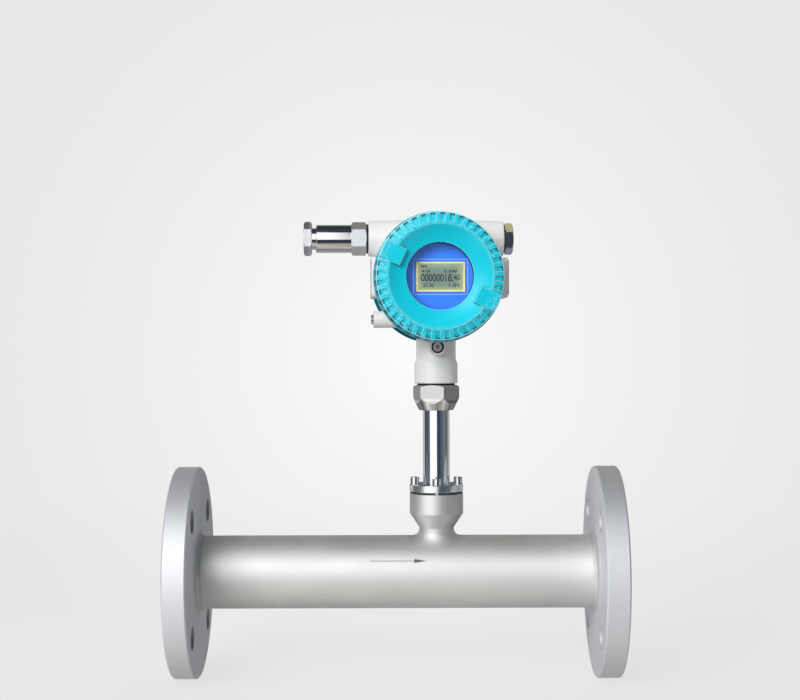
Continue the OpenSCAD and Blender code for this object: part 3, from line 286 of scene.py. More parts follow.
# The boss is turned from another bar, which takes the beads darker than the pipe
from_boss = node(tree, "VectorMath", {0: where, 1: (SENSOR_X, 0, 0)}, operation="SUBTRACT")
level_way = node(tree, "VectorMath", {0: from_boss, 1: (1, 1, 0)}, operation="MULTIPLY")
off_boss = node(tree, "VectorMath", {0: level_way}, operation="LENGTH").outputs["Value"]
near_boss = node(tree, "MapRange", {0: off_boss, 1: 0.026, 2: 0.022})
height = node(tree, "SeparateXYZ", {0: where}).outputs[2]
over_pipe = node(tree, "MapRange", {0: height, 1: 0.020, 2: 0.030})
on_boss = node(tree, "Math", {0: near_boss, 1: over_pipe}, operation="MULTIPLY")
tone = node(tree, "Mix", {0: on_boss, 6: tone, 7: linear("#C9C8C8")}, data_type="RGBA").outputs[2]
# Painted shade: the bolt holes of the inlet flange, 62.5 mm from the middle, are darkened inside
folded = node(tree, "VectorMath", {0: where}, operation="ABSOLUTE")
from_hole = node(
    tree, "VectorMath", {0: folded, 1: (0, HOLE_OFF, HOLE_OFF)}, operation="SUBTRACT"
)
across_hole = node(tree, "VectorMath", {0: from_hole, 1: (0, 1, 1)}, operation="MULTIPLY")
off_hole = node(tree, "VectorMath", {0: across_hole}, operation="LENGTH").outputs["Value"]
in_hole = node(tree, "MapRange", {0: off_hole, 1: HOLE_R + 0.0004, 2: HOLE_R + 0.0001})
hole_shade_share = node(tree, "MapRange", {0: along, 1: -0.01, 2: 0.01, 3: 0.42, 4: 0.0})
hole_shade = node(tree, "Math", {0: in_hole, 1: hole_shade_share}, operation="MULTIPLY")
tone = node(tree, "Mix", {0: hole_shade, 6: tone, 7: linear("#5C5E66")}, data_type="RGBA").outputs[2]
speckle = node(tree, "MapRange", {0: beads, 1: 0.3, 2: 0.7, 3: 0.93, 4: 1.04})
spotted = node(tree, "VectorMath", {0: tone, 1: speckle}, operation="MULTIPLY")
matt = node(tree, "MapRange", {0: clouds, 1: 0.3, 2: 0.7, 3: 0.62, 4: 0.7})
over_weld = node(tree, "MapRange", {0: height, 1: 0.036, 2: 0.038})
above = node(tree, "Math", {0: near_boss, 1: over_weld}, operation="MULTIPLY")
matt = node(tree, "Mix", {0: above, 2: matt, 3: 0.58})
matt = node(tree, "Mix", {0: on_flange, 2: matt, 3: 0.70})
soft_edges = node(tree, "Bevel", {"Radius": 0.0006}, samples=4)
dents = node(
    tree, "Bump", {"Strength": 0.25, "Distance": 0.00012, "Height": beads, "Normal": soft_edges}
)
shader = node(
    tree, "BsdfPrincipled",
    {"Base Color": spotted, "Metallic": 1.0, "Roughness": matt, "Normal": dents},
)
node(tree, "OutputMaterial", {0: shader})
dress(blasted, "measuring_pipe", "inlet_flange", "outlet_flange", "sensor_boss")


# Flow arrow on the front of the pipe: cut 0.1 mm deep by laser and left brown-grey. It is a
# thin line that ends in a long narrow head. It follows the pipe, 0.05 mm over the skin, because
# so shallow a cut wouldn't show.
PIPE_FRONT = -0.04
ARROW_UP = 0.0117
OVER_SKIN = 0.00005
SHAFT_X, SHAFT_LONG, SHAFT_WIDE = 0.1712, 0.0344, 0.00045
TIP_X, TIP_LONG, TIP_WIDE = 0.1915, 0.0063, 0.00175
bpy.ops.mesh.primitive_plane_add(size=1, location=(SHAFT_X, PIPE_FRONT, ARROW_UP))
arrow = bpy.context.object
arrow.name = "flow_arrow"
arrow.scale = (SHAFT_LONG, SHAFT_WIDE, 1)
arrow.rotation_euler = (math.radians(90), 0, 0)
bpy.ops.object.transform_apply()
bpy.ops.mesh.primitive_circle_add(
    vertices=3, radius=1, fill_type="NGON", location=(TIP_X, PIPE_FRONT, ARROW_UP)
)
tip = bpy.context.object
tip.rotation_euler = (math.radians(90), math.radians(90), 0)
tip.scale = (TIP_WIDE, TIP_LONG, 1)
bpy.ops.object.transform_apply()
arrow.select_set(True)
bpy.context.view_layer.objects.active = arrow
bpy.ops.object.join()
bpy.ops.object.mode_set(mode="EDIT")
bpy.ops.mesh.select_all(action="SELECT")
bpy.ops.mesh.quads_convert_to_tris()
bpy.ops.mesh.subdivide(number_cuts=5)
bpy.ops.object.mode_set(mode="OBJECT")
wrap = arrow.modifiers.new("wrap", "SHRINKWRAP")
wrap.target = cad["measuring_pipe"]
wrap.wrap_method = "PROJECT"
wrap.use_project_x = False
wrap.use_project_y = True
wrap.use_project_z = False
wrap.use_negative_direction = True
wrap.offset = OVER_SKIN
bpy.ops.object.modifier_apply(modifier="wrap")
burnt, tree, where = new_finish("laser_burnt_steel")
passes = node(tree, "TexNoise", {"Vector": where, "Scale": 2500.0, "Detail": 2.0})
brown = node(
    tree, "Mix", {0: passes, 6: linear("#57504A"), 7: linear("#7B736A")}, data_type="RGBA"
).outputs[2]
rough = node(tree, "Bump", {"Strength": 0.3, "Distance": 0.00005, "Height": passes})
shader = node(tree, "BsdfPrincipled", {"Base Color": brown, "Roughness": 0.7, "Normal": rough})
node(tree, "OutputMaterial", {0: shader})
arrow.data.materials.append(burnt)
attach(arrow, "meter_tube")
bpy.ops.object.select_all(action="DESELECT")


# Saddle weld under the boss: laid in stainless wire, then ground to a hollow that runs out
# into the neck above it and the pipe below it, and blasted with them, so no seam is left.
NECK_R, TOE_R = 0.01353, 0.0200
# At the crown and at the toe: height over the skin, and how far the face follows neck and pipe
CROWN_UP, TOE_UP = 0.0065, 0.00002
CROWN_PULL, TOE_PULL = 0.0042, 0.0045
INSIDE_R = NECK_R - 0.0005
# The points that close the ring inside the pipe and the neck: radius, and height over the skin
CLOSING = [
    (TOE_R - 0.0003, -0.0005), (0.0165, -0.0005), (INSIDE_R, -0.0005),
    (INSIDE_R, 0.0030), (INSIDE_R, 0.0060),
]
WELD_RINGS = 96
FACE_STEPS = 18
WELD_POINTS = FACE_STEPS + 1 + len(CLOSING)
low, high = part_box("measuring_pipe")
pipe_r = (high.y - low.y) / 2
low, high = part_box("sensor_boss")
boss_x = (high.x + low.x) / 2
bpy.ops.mesh.primitive_torus_add(major_segments=WELD_RINGS, minor_segments=WELD_POINTS)
saddle = bpy.context.object
saddle.name = "boss_saddle_weld"


def on_pipe(out, turned):
    """Height of the pipe's skin at a distance and angle from the axis of the boss."""
    return math.sqrt(pipe_r**2 - (out * math.sin(turned)) ** 2)


for number, corner in enumerate(saddle.data.vertices):
    turned = 2 * math.pi * (number // WELD_POINTS) / WELD_RINGS
    toe = Vector((TOE_R, on_pipe(TOE_R, turned) + TOE_UP))
    crown = Vector((NECK_R, on_pipe(NECK_R, turned) + CROWN_UP))
    fall = Vector((1, -TOE_R * math.sin(turned) ** 2 / toe.y)).normalized()
    corners = [crown, crown - Vector((0, CROWN_PULL)), toe - fall * TOE_PULL, toe]
    step = number % WELD_POINTS
    t = step / FACE_STEPS
    if t <= 1:
        # The hollow face, one smooth curve from the crown on the neck to the toe on the pipe
        shares = [(1 - t) ** 3, 3 * t * (1 - t) ** 2, 3 * t**2 * (1 - t), t**3]
        out, up = sum((c * s for c, s in zip(corners, shares)), Vector((0, 0)))
    else:
        out, rise = CLOSING[step - FACE_STEPS - 1]
        up = on_pipe(out, turned) + rise
    corner.co = (boss_x + out * math.cos(turned), out * math.sin(turned), up)
bpy.ops.object.mode_set(mode="EDIT")
bpy.ops.mesh.select_all(action="SELECT")
bpy.ops.mesh.normals_make_consistent(inside=False)
bpy.ops.object.mode_set(mode="OBJECT")
bpy.ops.object.shade_smooth_by_angle(angle=math.radians(50))
saddle.data.materials.append(blasted)
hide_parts("boss_weld")
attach(saddle, "meter_tube")
bpy.ops.object.select_all(action="DESELECT")


# Flange welds. The outer ring on the back of each flange is laid by hand in stainless wire,
# dressed and blasted, so its ripples are only just seen.
weld, tree, where = new_finish("dressed_stainless_weld")
parts = node(tree, "SeparateXYZ", {0: where})
round_pipe = node(tree, "Math", {0: parts.outputs[2], 1: parts.outputs[1]}, operation="ARCTAN2")
drift = node(tree, "TexNoise", {"Vector": where, "Scale": 150.0, "Detail": 3.0})
beat = node(tree, "Math", {0: round_pipe, 1: 72.0, 2: drift}, operation="MULTIPLY_ADD")
ripple = node(tree, "Math", {0: beat}, operation="SINE")
rough = node(tree, "Math", {0: ripple, 1: 0.4, 2: drift}, operation="MULTIPLY_ADD")
bead = node(tree, "Bump", {"Strength": 0.5, "Distance": 0.0003, "Height": rough})
tone = node(
    tree, "Mix", {0: drift, 6: linear("#BDBDBB"), 7: linear("#D0D0CE")}, data_type="RGBA"
).outputs[2]
shader = node(
    tree, "BsdfPrincipled",
    {"Base Color": tone, "Metallic": 1.0, "Roughness": 0.74, "Normal": bead},
)
node(tree, "OutputMaterial", {0: shader})
dress(weld, "flange_welds")


# Gasket, sealing rings and the gland's insert: black nitrile rubber, moulded, with a dull
# skin. They show only as thin black lines between the metal pieces.
rubber, tree, where = new_finish("black_nitrile_rubber")
skin = node(tree, "TexNoise", {"Vector": where, "Scale": 1400.0, "Detail": 3.0})
dust = node(tree, "TexNoise", {"Vector": where, "Scale": 120.0, "Detail": 4.0})
black = node(
    tree, "Mix", {0: dust, 6: linear("#0E0E0F"), 7: linear("#1D1D1F")}, data_type="RGBA"
).outputs[2]
dull = node(tree, "MapRange", {0: dust, 3: 0.62, 4: 0.8})
pores = node(tree, "Bump", {"Strength": 0.2, "Distance": 0.0001, "Height": skin})
shader = node(tree, "BsdfPrincipled", {"Base Color": black, "Roughness": dull, "Normal": pores})
node(tree, "OutputMaterial", {0: shader})
dress(
    rubber,
    "boss_gasket", "neck_seal", "gland_seal", "gland_insert", "plug_seal", "glass_gasket",
    "front_cover_seal", "rear_cover_seal",
)


# Sensor flange, stem, probe tube and pins: stainless bar, turned and polished until it
# mirrors the room. Only faint rings round the bar are left from the lathe.
polished, tree, where = new_finish("mirror_polished_stainless")
rings = node(tree, "Mapping", {0: where, "Scale": (40.0, 40.0, 1600.0)})
lathe = node(tree, "TexNoise", {"Vector": rings, "Scale": 1.0, "Detail": 3.0})
smudge = node(tree, "TexNoise", {"Vector": where, "Scale": 70.0, "Detail": 4.0})
shine = node(tree, "MapRange", {0: smudge, 1: 0.3, 2: 0.7, 3: 0.07, 4: 0.14})
from_axis = node(tree, "VectorMath", {0: where, 1: (SENSOR_X, 0, 0)}, operation="SUBTRACT")
flat_way = node(tree, "VectorMath", {0: from_axis, 1: (1, 1, 0)}, operation="MULTIPLY")
out = node(tree, "VectorMath", {0: flat_way}, operation="LENGTH").outputs["Value"]
at_rim = node(tree, "MapRange", {0: out, 1: 0.0195, 2: 0.0205})
shine = node(tree, "Mix", {0: at_rim, 2: shine, 3: 0.24})
tone = node(
    tree, "Mix", {0: lathe, 6: linear("#CDD0D4"), 7: linear("#DFE1E4")}, data_type="RGBA"
).outputs[2]
soft_edges = node(tree, "Bevel", {"Radius": 0.0003}, samples=4)
fine = node(
    tree, "Bump", {"Strength": 0.04, "Distance": 0.00003, "Height": lathe, "Normal": soft_edges}
)
shader = node(
    tree, "BsdfPrincipled",
    {"Base Color": tone, "Metallic": 1.0, "Roughness": shine, "Normal": fine},
)
node(tree, "OutputMaterial", {0: shader})
dress(polished, "sensor_flange", "sensor_stem", "probe_tube", "heated_pin", "reference_pin")


# Four M4 cap screws hold the sensor flange on the boss. Each is cold-formed stainless with a
# smooth head, a rounded rim and a hexagon socket. The other small screws are the same steel.
bright_steel, tree, where = new_finish("cold_formed_stainless_screw")
smudge = node(tree, "TexNoise", {"Vector": where, "Scale": 400.0, "Detail": 3.0})
tone = node(
    tree, "Mix", {0: smudge, 6: linear("#C2C3C5"), 7: linear("#DBDCDD")}, data_type="RGBA"
).outputs[2]
# Painted shade: the sockets and corners darken where the AO is low
open_air = node(tree, "AmbientOcclusion", {"Distance": 0.0025}, samples=6).outputs["AO"]
socket_shade = node(tree, "MapRange", {0: open_air, 1: 0.45, 2: 0.15})
tone = node(tree, "Mix", {0: socket_shade, 6: tone, 7: linear("#303034")}, data_type="RGBA").outputs[2]
shine = node(tree, "MapRange", {0: smudge, 3: 0.1, 4: 0.18})
soft_edges = node(tree, "Bevel", {"Radius": 0.00025}, samples=4)
shader = node(
    tree, "BsdfPrincipled",
    {"Base Color": tone, "Metallic": 1.0, "Roughness": shine, "Normal": soft_edges},
)
node(tree, "OutputMaterial", {0: shader})
dress(
    bright_steel,
    "earth_screw", "earth_washer", "dial_screws",
    "terminal_screws", "terminal_block_screws",
)
SCREW_HEAD_R, SCREW_HEAD_H = 0.0035, 0.005
RIM_WIDE, FACE_UP, FACE_LAND = 0.00045, 0.00035, 0.0002
SOCKET_R, SOCKET_DEEP = 0.00173, 0.0022
SHANK_R, SHANK_IN_HEAD = 0.002, 0.001
low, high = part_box("sensor_flange_screws")
screw_axis_x = (low.x + high.x) / 2
circle_r = (high.x - low.x) / 2 - SCREW_HEAD_R
shank_top = high.z - SCREW_HEAD_H + SHANK_IN_HEAD
bpy.ops.mesh.primitive_cylinder_add(
    vertices=64,
    radius=SCREW_HEAD_R,
    depth=SCREW_HEAD_H,
    location=(0, 0, high.z - SCREW_HEAD_H / 2),
)
screw = bpy.context.object
screw.name = "sensor_flange_screw_1"
bpy.ops.object.transform_apply(location=True)
bpy.ops.object.mode_set(mode="EDIT")
bpy.ops.mesh.select_all(action="DESELECT")
bpy.ops.object.mode_set(mode="OBJECT")
for face in screw.data.polygons:
    face.select = face.normal.z > 0.9
bpy.ops.object.mode_set(mode="EDIT")
bpy.ops.mesh.inset(thickness=RIM_WIDE, depth=FACE_UP)
bpy.ops.mesh.inset(thickness=FACE_LAND, depth=0.0)
bpy.ops.mesh.select_all(action="DESELECT")
bpy.ops.object.mode_set(mode="OBJECT")
bpy.ops.mesh.primitive_cylinder_add(
    vertices=6, radius=SOCKET_R, depth=2 * SOCKET_DEEP, location=(0, 0, high.z)
)
socket = bpy.context.object
carve = screw.modifiers.new("socket", "BOOLEAN")
carve.object = socket
carve.operation = "DIFFERENCE"
bpy.context.view_layer.objects.active = screw
bpy.ops.object.modifier_apply(modifier="socket")
bpy.data.objects.remove(socket)
bpy.ops.mesh.primitive_cylinder_add(
    vertices=24,
    radius=SHANK_R,
    depth=shank_top - low.z,
    location=(0, 0, (shank_top + low.z) / 2),
)
bpy.ops.object.transform_apply(location=True)
screw.select_set(True)
bpy.context.view_layer.objects.active = screw
bpy.ops.object.join()
bpy.ops.object.shade_smooth_by_angle(angle=math.radians(30))
screw.data.materials.append(bright_steel)
screw_shape = screw.data.copy()
for number in range(4):
    one = screw
    if number:
        one = screw.copy()
        one.data = screw_shape.copy()
        one.name = f"sensor_flange_screw_{number + 1}"
        bpy.context.scene.collection.objects.link(one)
    angle = number * math.pi / 2
    # The sockets stop at different turns when the screws are tight
    one.data.transform(
        Matrix.Translation(
            (screw_axis_x + circle_r * math.cos(angle), circle_r * math.sin(angle), 0)
        )
        @ Matrix.Rotation(0.3 + 0.9 * number, 4, "Z")
    )
    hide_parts("sensor_flange_screws")
    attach(one, "meter_tube")
bpy.ops.object.select_all(action="DESELECT")


# Hexagon coupling under the head: stainless bar. The flats are ground upwards, which leaves
# fine upright scratches, and the cone below them is turned bright. The screw that locks the
# neck has the same finish.
ground, tree, where = new_finish("ground_stainless_hexagon")
upright = node(tree, "Mapping", {0: where, "Scale": (2600.0, 2600.0, 90.0)})
scratches = node(
    tree, "TexNoise", {"Vector": upright, "Scale": 1.0, "Detail": 4.0, "Roughness": 0.7}
)
parts = node(tree, "SeparateXYZ", {0: where})
# The cone ends 135 mm above the middle of the pipe
above_cone = node(tree, "MapRange", {0: parts.outputs[2], 1: 0.1335, 2: 0.1365})
tone = node(
    tree, "Mix", {0: scratches, 6: linear("#A0A09F"), 7: linear("#C4C4C2")}, data_type="RGBA"
).outputs[2]
# Painted shade: the socket of the lock screw darkens where the AO is low
open_air = node(tree, "AmbientOcclusion", {"Distance": 0.002}, samples=6).outputs["AO"]
socket_shade = node(tree, "MapRange", {0: open_air, 1: 0.62, 2: 0.3})
tone = node(tree, "Mix", {0: socket_shade, 6: tone, 7: linear("#303034")}, data_type="RGBA").outputs[2]
flat_matt = node(tree, "MapRange", {0: scratches, 3: 0.52, 4: 0.64})
matt = node(tree, "Mix", {0: above_cone, 2: 0.14, 3: flat_matt})
soft_edges = node(tree, "Bevel", {"Radius": 0.0004}, samples=4)
cuts = node(
    tree,
    "Bump",
    {"Strength": above_cone, "Distance": 0.00016, "Height": scratches, "Normal": soft_edges},
)
shader = node(
    tree, "BsdfPrincipled",
    {"Base Color": tone, "Metallic": 1.0, "Roughness": matt, "Normal": cuts},
)
node(tree, "OutputMaterial", {0: shader})
dress(ground, "hex_coupling", "neck_lock_screw")


# Head housing: an aluminium casting with a white polyester powder coat. The coat rounds every
# edge and has a fine orange peel. The two collars for the covers carry a screw thread.
HEAD_AXIS = (SENSOR_X, 0.0, 0.230)
HEAD_TURN = math.radians(3)
COVER_PITCH = 0.002


def thread(tree, along, across, upwards, pitch):
    """Height of a screw thread whose axis is the first of three directions, for a Bump node."""
    turned = node(tree, "Math", {0: upwards, 1: across}, operation="ARCTAN2")
    rounds = node(tree, "Math", {0: turned, 1: 2 * math.pi}, operation="DIVIDE")
    steps = node(tree, "Math", {0: along, 1: 1 / pitch, 2: rounds}, operation="MULTIPLY_ADD")
    return node(tree, "Math", {0: steps, 1: 1.0}, operation="PINGPONG")


low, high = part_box("neck_lock_screw")
lock_rise = (low.z + high.z) / 2 - HEAD_AXIS[2]
white, tree, where = new_finish("white_polyester_powder_coat")
in_head = node(
    tree, "Mapping", {0: where, 1: HEAD_AXIS, 2: (0, 0, HEAD_TURN)}, vector_type="TEXTURE"
)
parts = node(tree, "SeparateXYZ", {0: in_head})
peel = node(tree, "TexNoise", {"Vector": where, "Scale": 700.0, "Detail": 2.0})
clouds = node(tree, "TexNoise", {"Vector": where, "Scale": 30.0, "Detail": 3.0})
tone = node(
    tree, "Mix", {0: clouds, 6: linear("#EFEFED"), 7: linear("#F6F6F5")}, data_type="RGBA"
).outputs[2]
# Painted shadow: the recess of the lock screw, 9.8 mm across, is coloured near black
from_lock = node(
    tree,
    "VectorMath",
    {
        0: node(tree, "CombineXYZ", {0: parts.outputs[0], 2: parts.outputs[2]}),
        1: (0, 0, lock_rise),
    },
    operation="SUBTRACT",
)
off_lock = node(tree, "VectorMath", {0: from_lock}, operation="LENGTH").outputs["Value"]
recess_shade = node(tree, "MapRange", {0: off_lock, 1: 0.00496, 2: 0.00492})
tone = node(tree, "Mix", {0: recess_shade, 6: tone, 7: linear("#1C1C1E")}, data_type="RGBA").outputs[2]
# The collars are threaded from 33 mm off the middle of the head, on their outside alone
depth = node(tree, "Math", {0: parts.outputs[1]}, operation="ABSOLUTE")
past_seat = node(tree, "MapRange", {0: depth, 1: 0.0326, 2: 0.0330})
radius = node(
    tree,
    "VectorMath",
    {0: node(tree, "CombineXYZ", {0: parts.outputs[0], 1: parts.outputs[2]})},
    operation="LENGTH",
).outputs["Value"]
outside = node(tree, "MapRange", {0: radius, 1: 0.0415, 2: 0.0425})
on_collar = node(tree, "Math", {0: past_seat, 1: outside}, operation="MULTIPLY")
crests = thread(tree, parts.outputs[1], parts.outputs[0], parts.outputs[2], COVER_PITCH)
shape = node(tree, "Mix", {0: on_collar, 2: peel, 3: crests})
reach = node(tree, "Mix", {0: on_collar, 2: 0.00006, 3: 0.0009})
soft_edges = node(tree, "Bevel", {"Radius": 0.0011}, samples=6)
relief = node(
    tree, "Bump", {"Strength": 0.5, "Distance": reach, "Height": shape, "Normal": soft_edges}
)
matt = node(tree, "MapRange", {0: clouds, 3: 0.32, 4: 0.42})
shader = node(
    tree, "BsdfPrincipled",
    {
        "Base Color": tone, "Roughness": matt, "Normal": relief,
        "Coat Weight": 0.15, "Coat Roughness": 0.25,
    },
)
node(tree, "OutputMaterial", {0: shader})
dress(white, "housing")


# Side plate: a blank strip of brushed stainless on the right of the head, held by two pins.
# It is bare, with only the grain of the brush along it.
brushed_plate, tree, where = new_finish("brushed_bare_plate")
along = node(tree, "Mapping", {0: where, "Scale": (3000.0, 120.0, 3000.0)})
brush = node(tree, "TexNoise", {"Vector": along, "Scale": 1.0, "Detail": 3.0})
tone = node(
    tree, "Mix", {0: brush, 6: linear("#C4C6C4"), 7: linear("#D6D8D6")}, data_type="RGBA"
).outputs[2]
lines = node(tree, "Bump", {"Strength": 0.2, "Distance": 0.00004, "Height": brush})
shader = node(
    tree, "BsdfPrincipled",
    {"Base Color": tone, "Metallic": 0.6, "Roughness": 0.5, "Normal": lines},
)
node(tree, "OutputMaterial", {0: shader})
dress(brushed_plate, "side_plate")


# Cable gland on the left and blanking plug on the right: stainless bar. The hexagons are
# ground, the barrel between them is polished, and the shanks are threaded.
ENTRY_Z = 0.2615
GLAND_PITCH = 0.0015
gland_steel, tree, where = new_finish("turned_stainless_gland")
in_head = node(
    tree,
    "Mapping",
    {0: where, 1: (SENSOR_X, 0.0, ENTRY_Z), 2: (0, 0, HEAD_TURN)},
    vector_type="TEXTURE",
)
parts = node(tree, "SeparateXYZ", {0: in_head})
left_of = node(tree, "Math", {0: parts.outputs[0], 1: -1}, operation="MULTIPLY")
# The barrel runs from 66.4 mm to 97 mm left of the middle of the head
past_hexagon = node(tree, "MapRange", {0: left_of, 1: 0.0662, 2: 0.0665})
before_nut = node(tree, "MapRange", {0: left_of, 1: 0.0971, 2: 0.0970})
on_barrel = node(tree, "Math", {0: past_hexagon, 1: before_nut}, operation="MULTIPLY")
# Both shanks are threaded up to 53 mm from the middle of the head
reach = node(tree, "Math", {0: parts.outputs[0]}, operation="ABSOLUTE")
on_thread = node(tree, "MapRange", {0: reach, 1: 0.0531, 2: 0.0529})
crests = thread(tree, parts.outputs[0], parts.outputs[1], parts.outputs[2], GLAND_PITCH)
grit = node(tree, "TexNoise", {"Vector": where, "Scale": 1500.0, "Detail": 3.0, "Roughness": 0.7})
height = node(tree, "Mix", {0: on_thread, 2: grit, 3: crests})
depth = node(tree, "Mix", {0: on_thread, 2: 0.00005, 3: 0.0006})
on_nut = node(tree, "MapRange", {0: left_of, 1: 0.0990, 2: 0.1000})
on_plug = node(tree, "MapRange", {0: parts.outputs[0], 1: 0.0, 2: 0.001})
hexagon = node(tree, "Mix", {0: on_nut, 2: 0.6, 3: 0.30})
flats = node(tree, "Mix", {0: on_plug, 2: hexagon, 3: 0.1})
matt = node(tree, "Mix", {0: on_barrel, 2: flats, 3: 0.05})
tone = node(
    tree, "Mix", {0: grit, 6: linear("#B8B9BB"), 7: linear("#D8D9DA")}, data_type="RGBA"
).outputs[2]
bright = node(
    tree, "Mix", {0: on_barrel, 6: tone, 7: linear("#E0E0E0")}, data_type="RGBA"
).outputs[2]
grip = node(tree, "Mix", {0: on_barrel, 2: 0.5, 3: 0.0})
soft_edges = node(tree, "Bevel", {"Radius": 0.0004}, samples=4)
relief = node(
    tree, "Bump", {"Strength": grip, "Distance": depth, "Height": height, "Normal": soft_edges}
)
shader = node(
    tree, "BsdfPrincipled",
    {"Base Color": bright, "Metallic": 1.0, "Roughness": matt, "Normal": relief},
)
node(tree, "OutputMaterial", {0: shader})
dress(gland_steel, "gland_body", "gland_washer", "gland_nut", "blanking_plug")


# The two covers: aluminium castings with a cyan polyester powder coat. A painted highlight
# pales the edges of the grip teeth, and painted shade darkens the grooves between them.
COVER_H = 0.024
RIDGE_UP = 0.0207
RIDGE_R = 0.04863
SIDE_SLOPE = 0.0975
head_place = Matrix.Translation(HEAD_AXIS) @ Matrix.Rotation(HEAD_TURN, 4, "Z")
from_head = head_place.inverted()
rim_y = max(-(from_head @ corner.co).y for corner in cad["front_cover"].data.vertices)
cover_seat = rim_y - COVER_H
cyan, tree, where = new_finish("cyan_polyester_powder_coat")
peel = node(tree, "TexNoise", {"Vector": where, "Scale": 750.0, "Detail": 2.0})
clouds = node(tree, "TexNoise", {"Vector": where, "Scale": 25.0, "Detail": 3.0})
soft_edges = node(tree, "Bevel", {"Radius": 0.0009}, samples=6)
facing = node(tree, "NewGeometry").outputs["Normal"]
bend = node(
    tree, "VectorMath", {0: soft_edges, 1: facing}, operation="DOT_PRODUCT"
).outputs["Value"]
# Painted highlight: where the bevel rounds an edge, the coat is paled
edge = node(tree, "MapRange", {0: bend, 1: 0.995, 2: 0.86})
# Painted shade: the grooves darken where the AO is low
hollow = node(tree, "AmbientOcclusion", {"Distance": 0.0035}, samples=6).outputs["AO"]
deep = node(tree, "MapRange", {0: hollow, 1: 0.74, 2: 0.34})
flat_tone = node(
    tree, "Mix", {0: clouds, 6: linear("#0CD2EA"), 7: linear("#18DEF4")}, data_type="RGBA"
).outputs[2]
highlit_and_shaded_tone = node(tree, "Mix", {0: edge, 6: flat_tone, 7: linear("#B0F8FC")}, data_type="RGBA").outputs[2]
# The ridge between the two rows of cells gets a pale painted highlight, and pale spots of
# painted sheen are laid all over the grip
in_head = node(
    tree, "Mapping", {0: where, 1: HEAD_AXIS, 2: (0, 0, HEAD_TURN)}, vector_type="TEXTURE"
)
parts = node(tree, "SeparateXYZ", {0: in_head})
radius = node(
    tree,
    "VectorMath",
    {0: node(tree, "CombineXYZ", {0: parts.outputs[0], 1: parts.outputs[2]})},
    operation="LENGTH",
).outputs["Value"]
depth = node(tree, "Math", {0: parts.outputs[1]}, operation="ABSOLUTE")
at_ridge = node(tree, "MapRange", {0: radius, 1: 0.0477, 2: 0.0479})
before_side = node(tree, "MapRange", {0: depth, 1: cover_seat + 0.0208, 2: cover_seat + 0.0211})
ridge_highlight = node(tree, "Math", {0: at_ridge, 1: before_side}, operation="MULTIPLY")
ridge_highlight = node(tree, "Math", {0: ridge_highlight, 1: 0.5}, operation="MULTIPLY")
highlit_and_shaded_tone = node(tree, "Mix", {0: ridge_highlight, 6: highlit_and_shaded_tone, 7: linear("#D4FCFF")}, data_type="RGBA").outputs[2]
# Painted sheen: pale noise spots over the grip
on_teeth = node(tree, "MapRange", {0: radius, 1: 0.0400, 2: 0.0404})
spots = node(tree, "TexNoise", {"Vector": where, "Scale": 520.0, "Detail": 1.0})
pale_sheen = node(tree, "MapRange", {0: spots, 1: 0.54, 2: 0.68, 3: 0.0, 4: 0.5})
sheen_spots = node(tree, "Math", {0: on_teeth, 1: pale_sheen}, operation="MULTIPLY")
highlit_and_shaded_tone = node(tree, "Mix", {0: sheen_spots, 6: highlit_and_shaded_tone, 7: linear("#8CF6FE")}, data_type="RGBA").outputs[2]
# In the side row the floor of each cell gets painted shade, so it is darkest there
behind = node(tree, "MapRange", {0: depth, 1: cover_seat + 0.0210, 2: cover_seat + 0.0208})
crest = node(
    tree,
    "Math",
    {0: depth, 1: -SIDE_SLOPE, 2: SIDE_SLOPE * (cover_seat + RIDGE_UP) + RIDGE_R},
    operation="MULTIPLY_ADD",
)
sunk = node(tree, "Math", {0: crest, 1: radius}, operation="SUBTRACT")
floor_share = node(tree, "MapRange", {0: sunk, 1: 0.0002, 2: 0.0007})
off_axis = node(tree, "MapRange", {0: radius, 1: 0.0468, 2: 0.0470})
floor_shade = node(tree, "Math", {0: behind, 1: floor_share}, operation="MULTIPLY")
floor_shade = node(tree, "Math", {0: floor_shade, 1: off_axis}, operation="MULTIPLY")
on_side = node(tree, "Math", {0: behind, 1: off_axis}, operation="MULTIPLY")
highlit_and_shaded_tone = node(tree, "Mix", {0: on_side, 6: highlit_and_shaded_tone, 7: linear("#00D4EC")}, data_type="RGBA").outputs[2]
highlit_and_shaded_tone = node(tree, "Mix", {0: floor_shade, 6: highlit_and_shaded_tone, 7: linear("#00687E")}, data_type="RGBA").outputs[2]
shaded = node(tree, "Mix", {0: deep, 6: highlit_and_shaded_tone, 7: linear("#00687C")}, data_type="RGBA").outputs[2]
relief = node(
    tree, "Bump", {"Strength": 0.4, "Distance": 0.00006, "Height": peel, "Normal": soft_edges}
)
matt = node(tree, "MapRange", {0: clouds, 3: 0.26, 4: 0.36})
shader = node(
    tree, "BsdfPrincipled",
    {"Base Color": shaded, "Roughness": matt, "Normal": relief, "Specular IOR Level": 0.2},
)
node(tree, "OutputMaterial", {0: shader})
dress(cyan, "front_cover", "rear_cover")


# Grip of each cover: two rows of scooped cells with a narrow ridge between them, cast over the
# turned body. The front row faces forwards and the side row runs back to the band.
TOOTH_COUNT = 40
LUG_DEG = 154
PHASE_DEG = 1
LUG_SIN = 0.168
LUG_UNDER_MM = 23.6
LUG_IN, LUG_OUT, LUG_FOOT_OUT = 0.0452, 0.0485, 0.0487
LUG_HALF = 0.0067
LUG_LOW, LUG_HIGH = 0.0200, 0.02402
LUG_ROUND = 0.0008
# Steps across one tooth, in degrees from the middle of a cell, and the share of its depth
ACROSS = [(-4.5, 0), (-2.45, 0), (-2.1, 1), (0, 1.1), (2.1, 1), (2.45, 0)]
